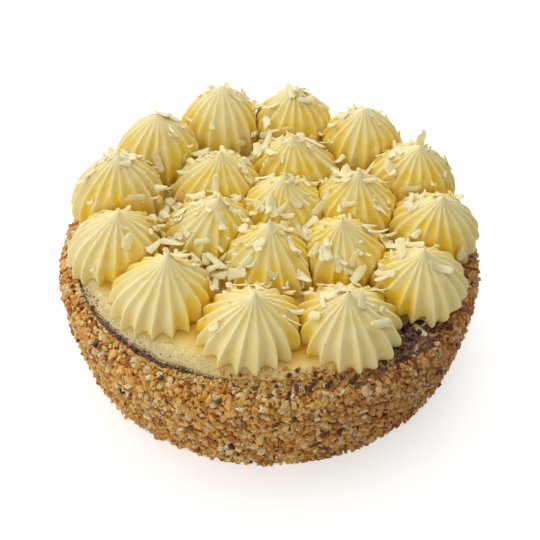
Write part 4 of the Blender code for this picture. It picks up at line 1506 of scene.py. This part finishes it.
rim_tree = search_tree([cream_bed, sponge, cake_body])
skin_rng = random.Random(97)
splinters += [lying_strip(*strip) for strip in RIM_SPLINTERS]
nut_skin = make_finish("nut skin", 0.45, 0.5, skin_colour, grain=(900.0, 0.5, 0.2, 0.6))
add_strips("curled_skins", [random_skin() for _ in range(SKINS)], nut_skin)

# %% [markdown]
# ## Finish of the white chocolate
#
# White chocolate is ivory, paler and less yellow than the cream, with a waxy sheen. Thin edges let
# light through, so a little scattering is added. The grooves of the knife are in the mesh already.

# %% Colour the shavings and place them
CHOCOLATE_COLOUR = (0.97, 0.86, 0.50)
CHOCOLATE_PATCH = (0.98, 0.90, 0.62)
CHOCOLATE_REACH = (1.0, 0.9, 0.6)


def chocolate_colour(tree):
    """Ivory with paler patches."""
    return mottled(tree, CHOCOLATE_COLOUR, CHOCOLATE_PATCH, size=300.0, amount=0.7)


white_chocolate = make_finish("white chocolate", 0.40, 0.4, chocolate_colour,
                              grain=(900.0, 0.5, 0.15, 0.5), soft=(0.4, 1.2, CHOCOLATE_REACH))
add_strips("white_chocolate_shavings", large_shavings, white_chocolate)
add_strips("white_chocolate_splinters", splinters, white_chocolate)

# %% [markdown]
# ## Floor and light
#
# The cake stands on a plain, nearly white table. A very large soft light hangs over it, a little
# behind, and gives the even, bright look of cream in daylight. A smaller one from the left makes the
# left flanks bright and leaves the right flanks in shade, and one at the front left lifts the nuts.
# A warm pale sky fills the rest. The table glows a little towards the camera alone, so it looks white
# without lighting the cake from below.

# %% Stage and lights
FLOOR_SIZE = 6.0
TABLE_GLOW = 0.55
SKY_COLOUR = (1.0, 0.94, 0.79, 1.0)
SKY_STRENGTH = 0.33

# name: place in metres, size in metres, power in watts, colour
LIGHTS = {
    "key light": ((-0.85, -0.12, 0.30), 0.70, 1.60, (0.98, 1.0, 1.0)),
    "top light": ((-0.10, 0.47, 0.61), 1.40, 8.0, (1.0, 1.0, 1.0)),
    "front light": ((-0.46, -0.74, 0.30), 0.80, 1.70, (1.0, 0.99, 0.96)),
}


def make_floor():
    """A large square in the plane the cake stands on."""
    half = FLOOR_SIZE / 2
    corners = np.array([(-half, -half, 0.0), (half, -half, 0.0), (half, half, 0.0), (-half, half, 0.0)])
    mesh = mesh_from_arrays("floor", corners, [np.array([[0, 1, 2, 3]])])
    finish = bpy.data.materials.new("pale table")
    finish.use_nodes = True
    tree = finish.node_tree
    glow = multiply(tree, add_node(tree, "LightPath", {}, "Is Camera Ray"), TABLE_GLOW)
    feed_shader(tree, {
        "Roughness": 0.6, "Specular IOR Level": 0.3, "Base Color": (0.80, 0.80, 0.81),
        "Emission Color": (1.0, 1.0, 1.0), "Emission Strength": glow})
    mesh.materials.append(finish)
    floor = bpy.data.objects.new("floor", mesh)
    bpy.context.scene.collection.objects.link(floor)


def soft_light(name, place, size, power, colour):
    """A square area light at a place, turned to face the cake."""
    light = bpy.data.lights.new(name, "AREA")
    light.size = size
    light.energy = power
    light.color = colour
    lamp = bpy.data.objects.new(name, light)
    lamp.location = place
    lamp.rotation_euler = (AIM_POINT - Vector(place)).to_track_quat("-Z", "Y").to_euler()
    bpy.context.scene.collection.objects.link(lamp)


make_floor()
for name, numbers in LIGHTS.items():
    soft_light(name, *numbers)
sky = bpy.data.worlds.new("pale sky")
sky.use_nodes = True
sky.node_tree.nodes["Background"].inputs["Color"].default_value = SKY_COLOUR
sky.node_tree.nodes["Background"].inputs["Strength"].default_value = SKY_STRENGTH
bpy.context.scene.world = sky
bpy.context.scene.view_settings.view_transform = "Standard"
print("lights:", list(LIGHTS))
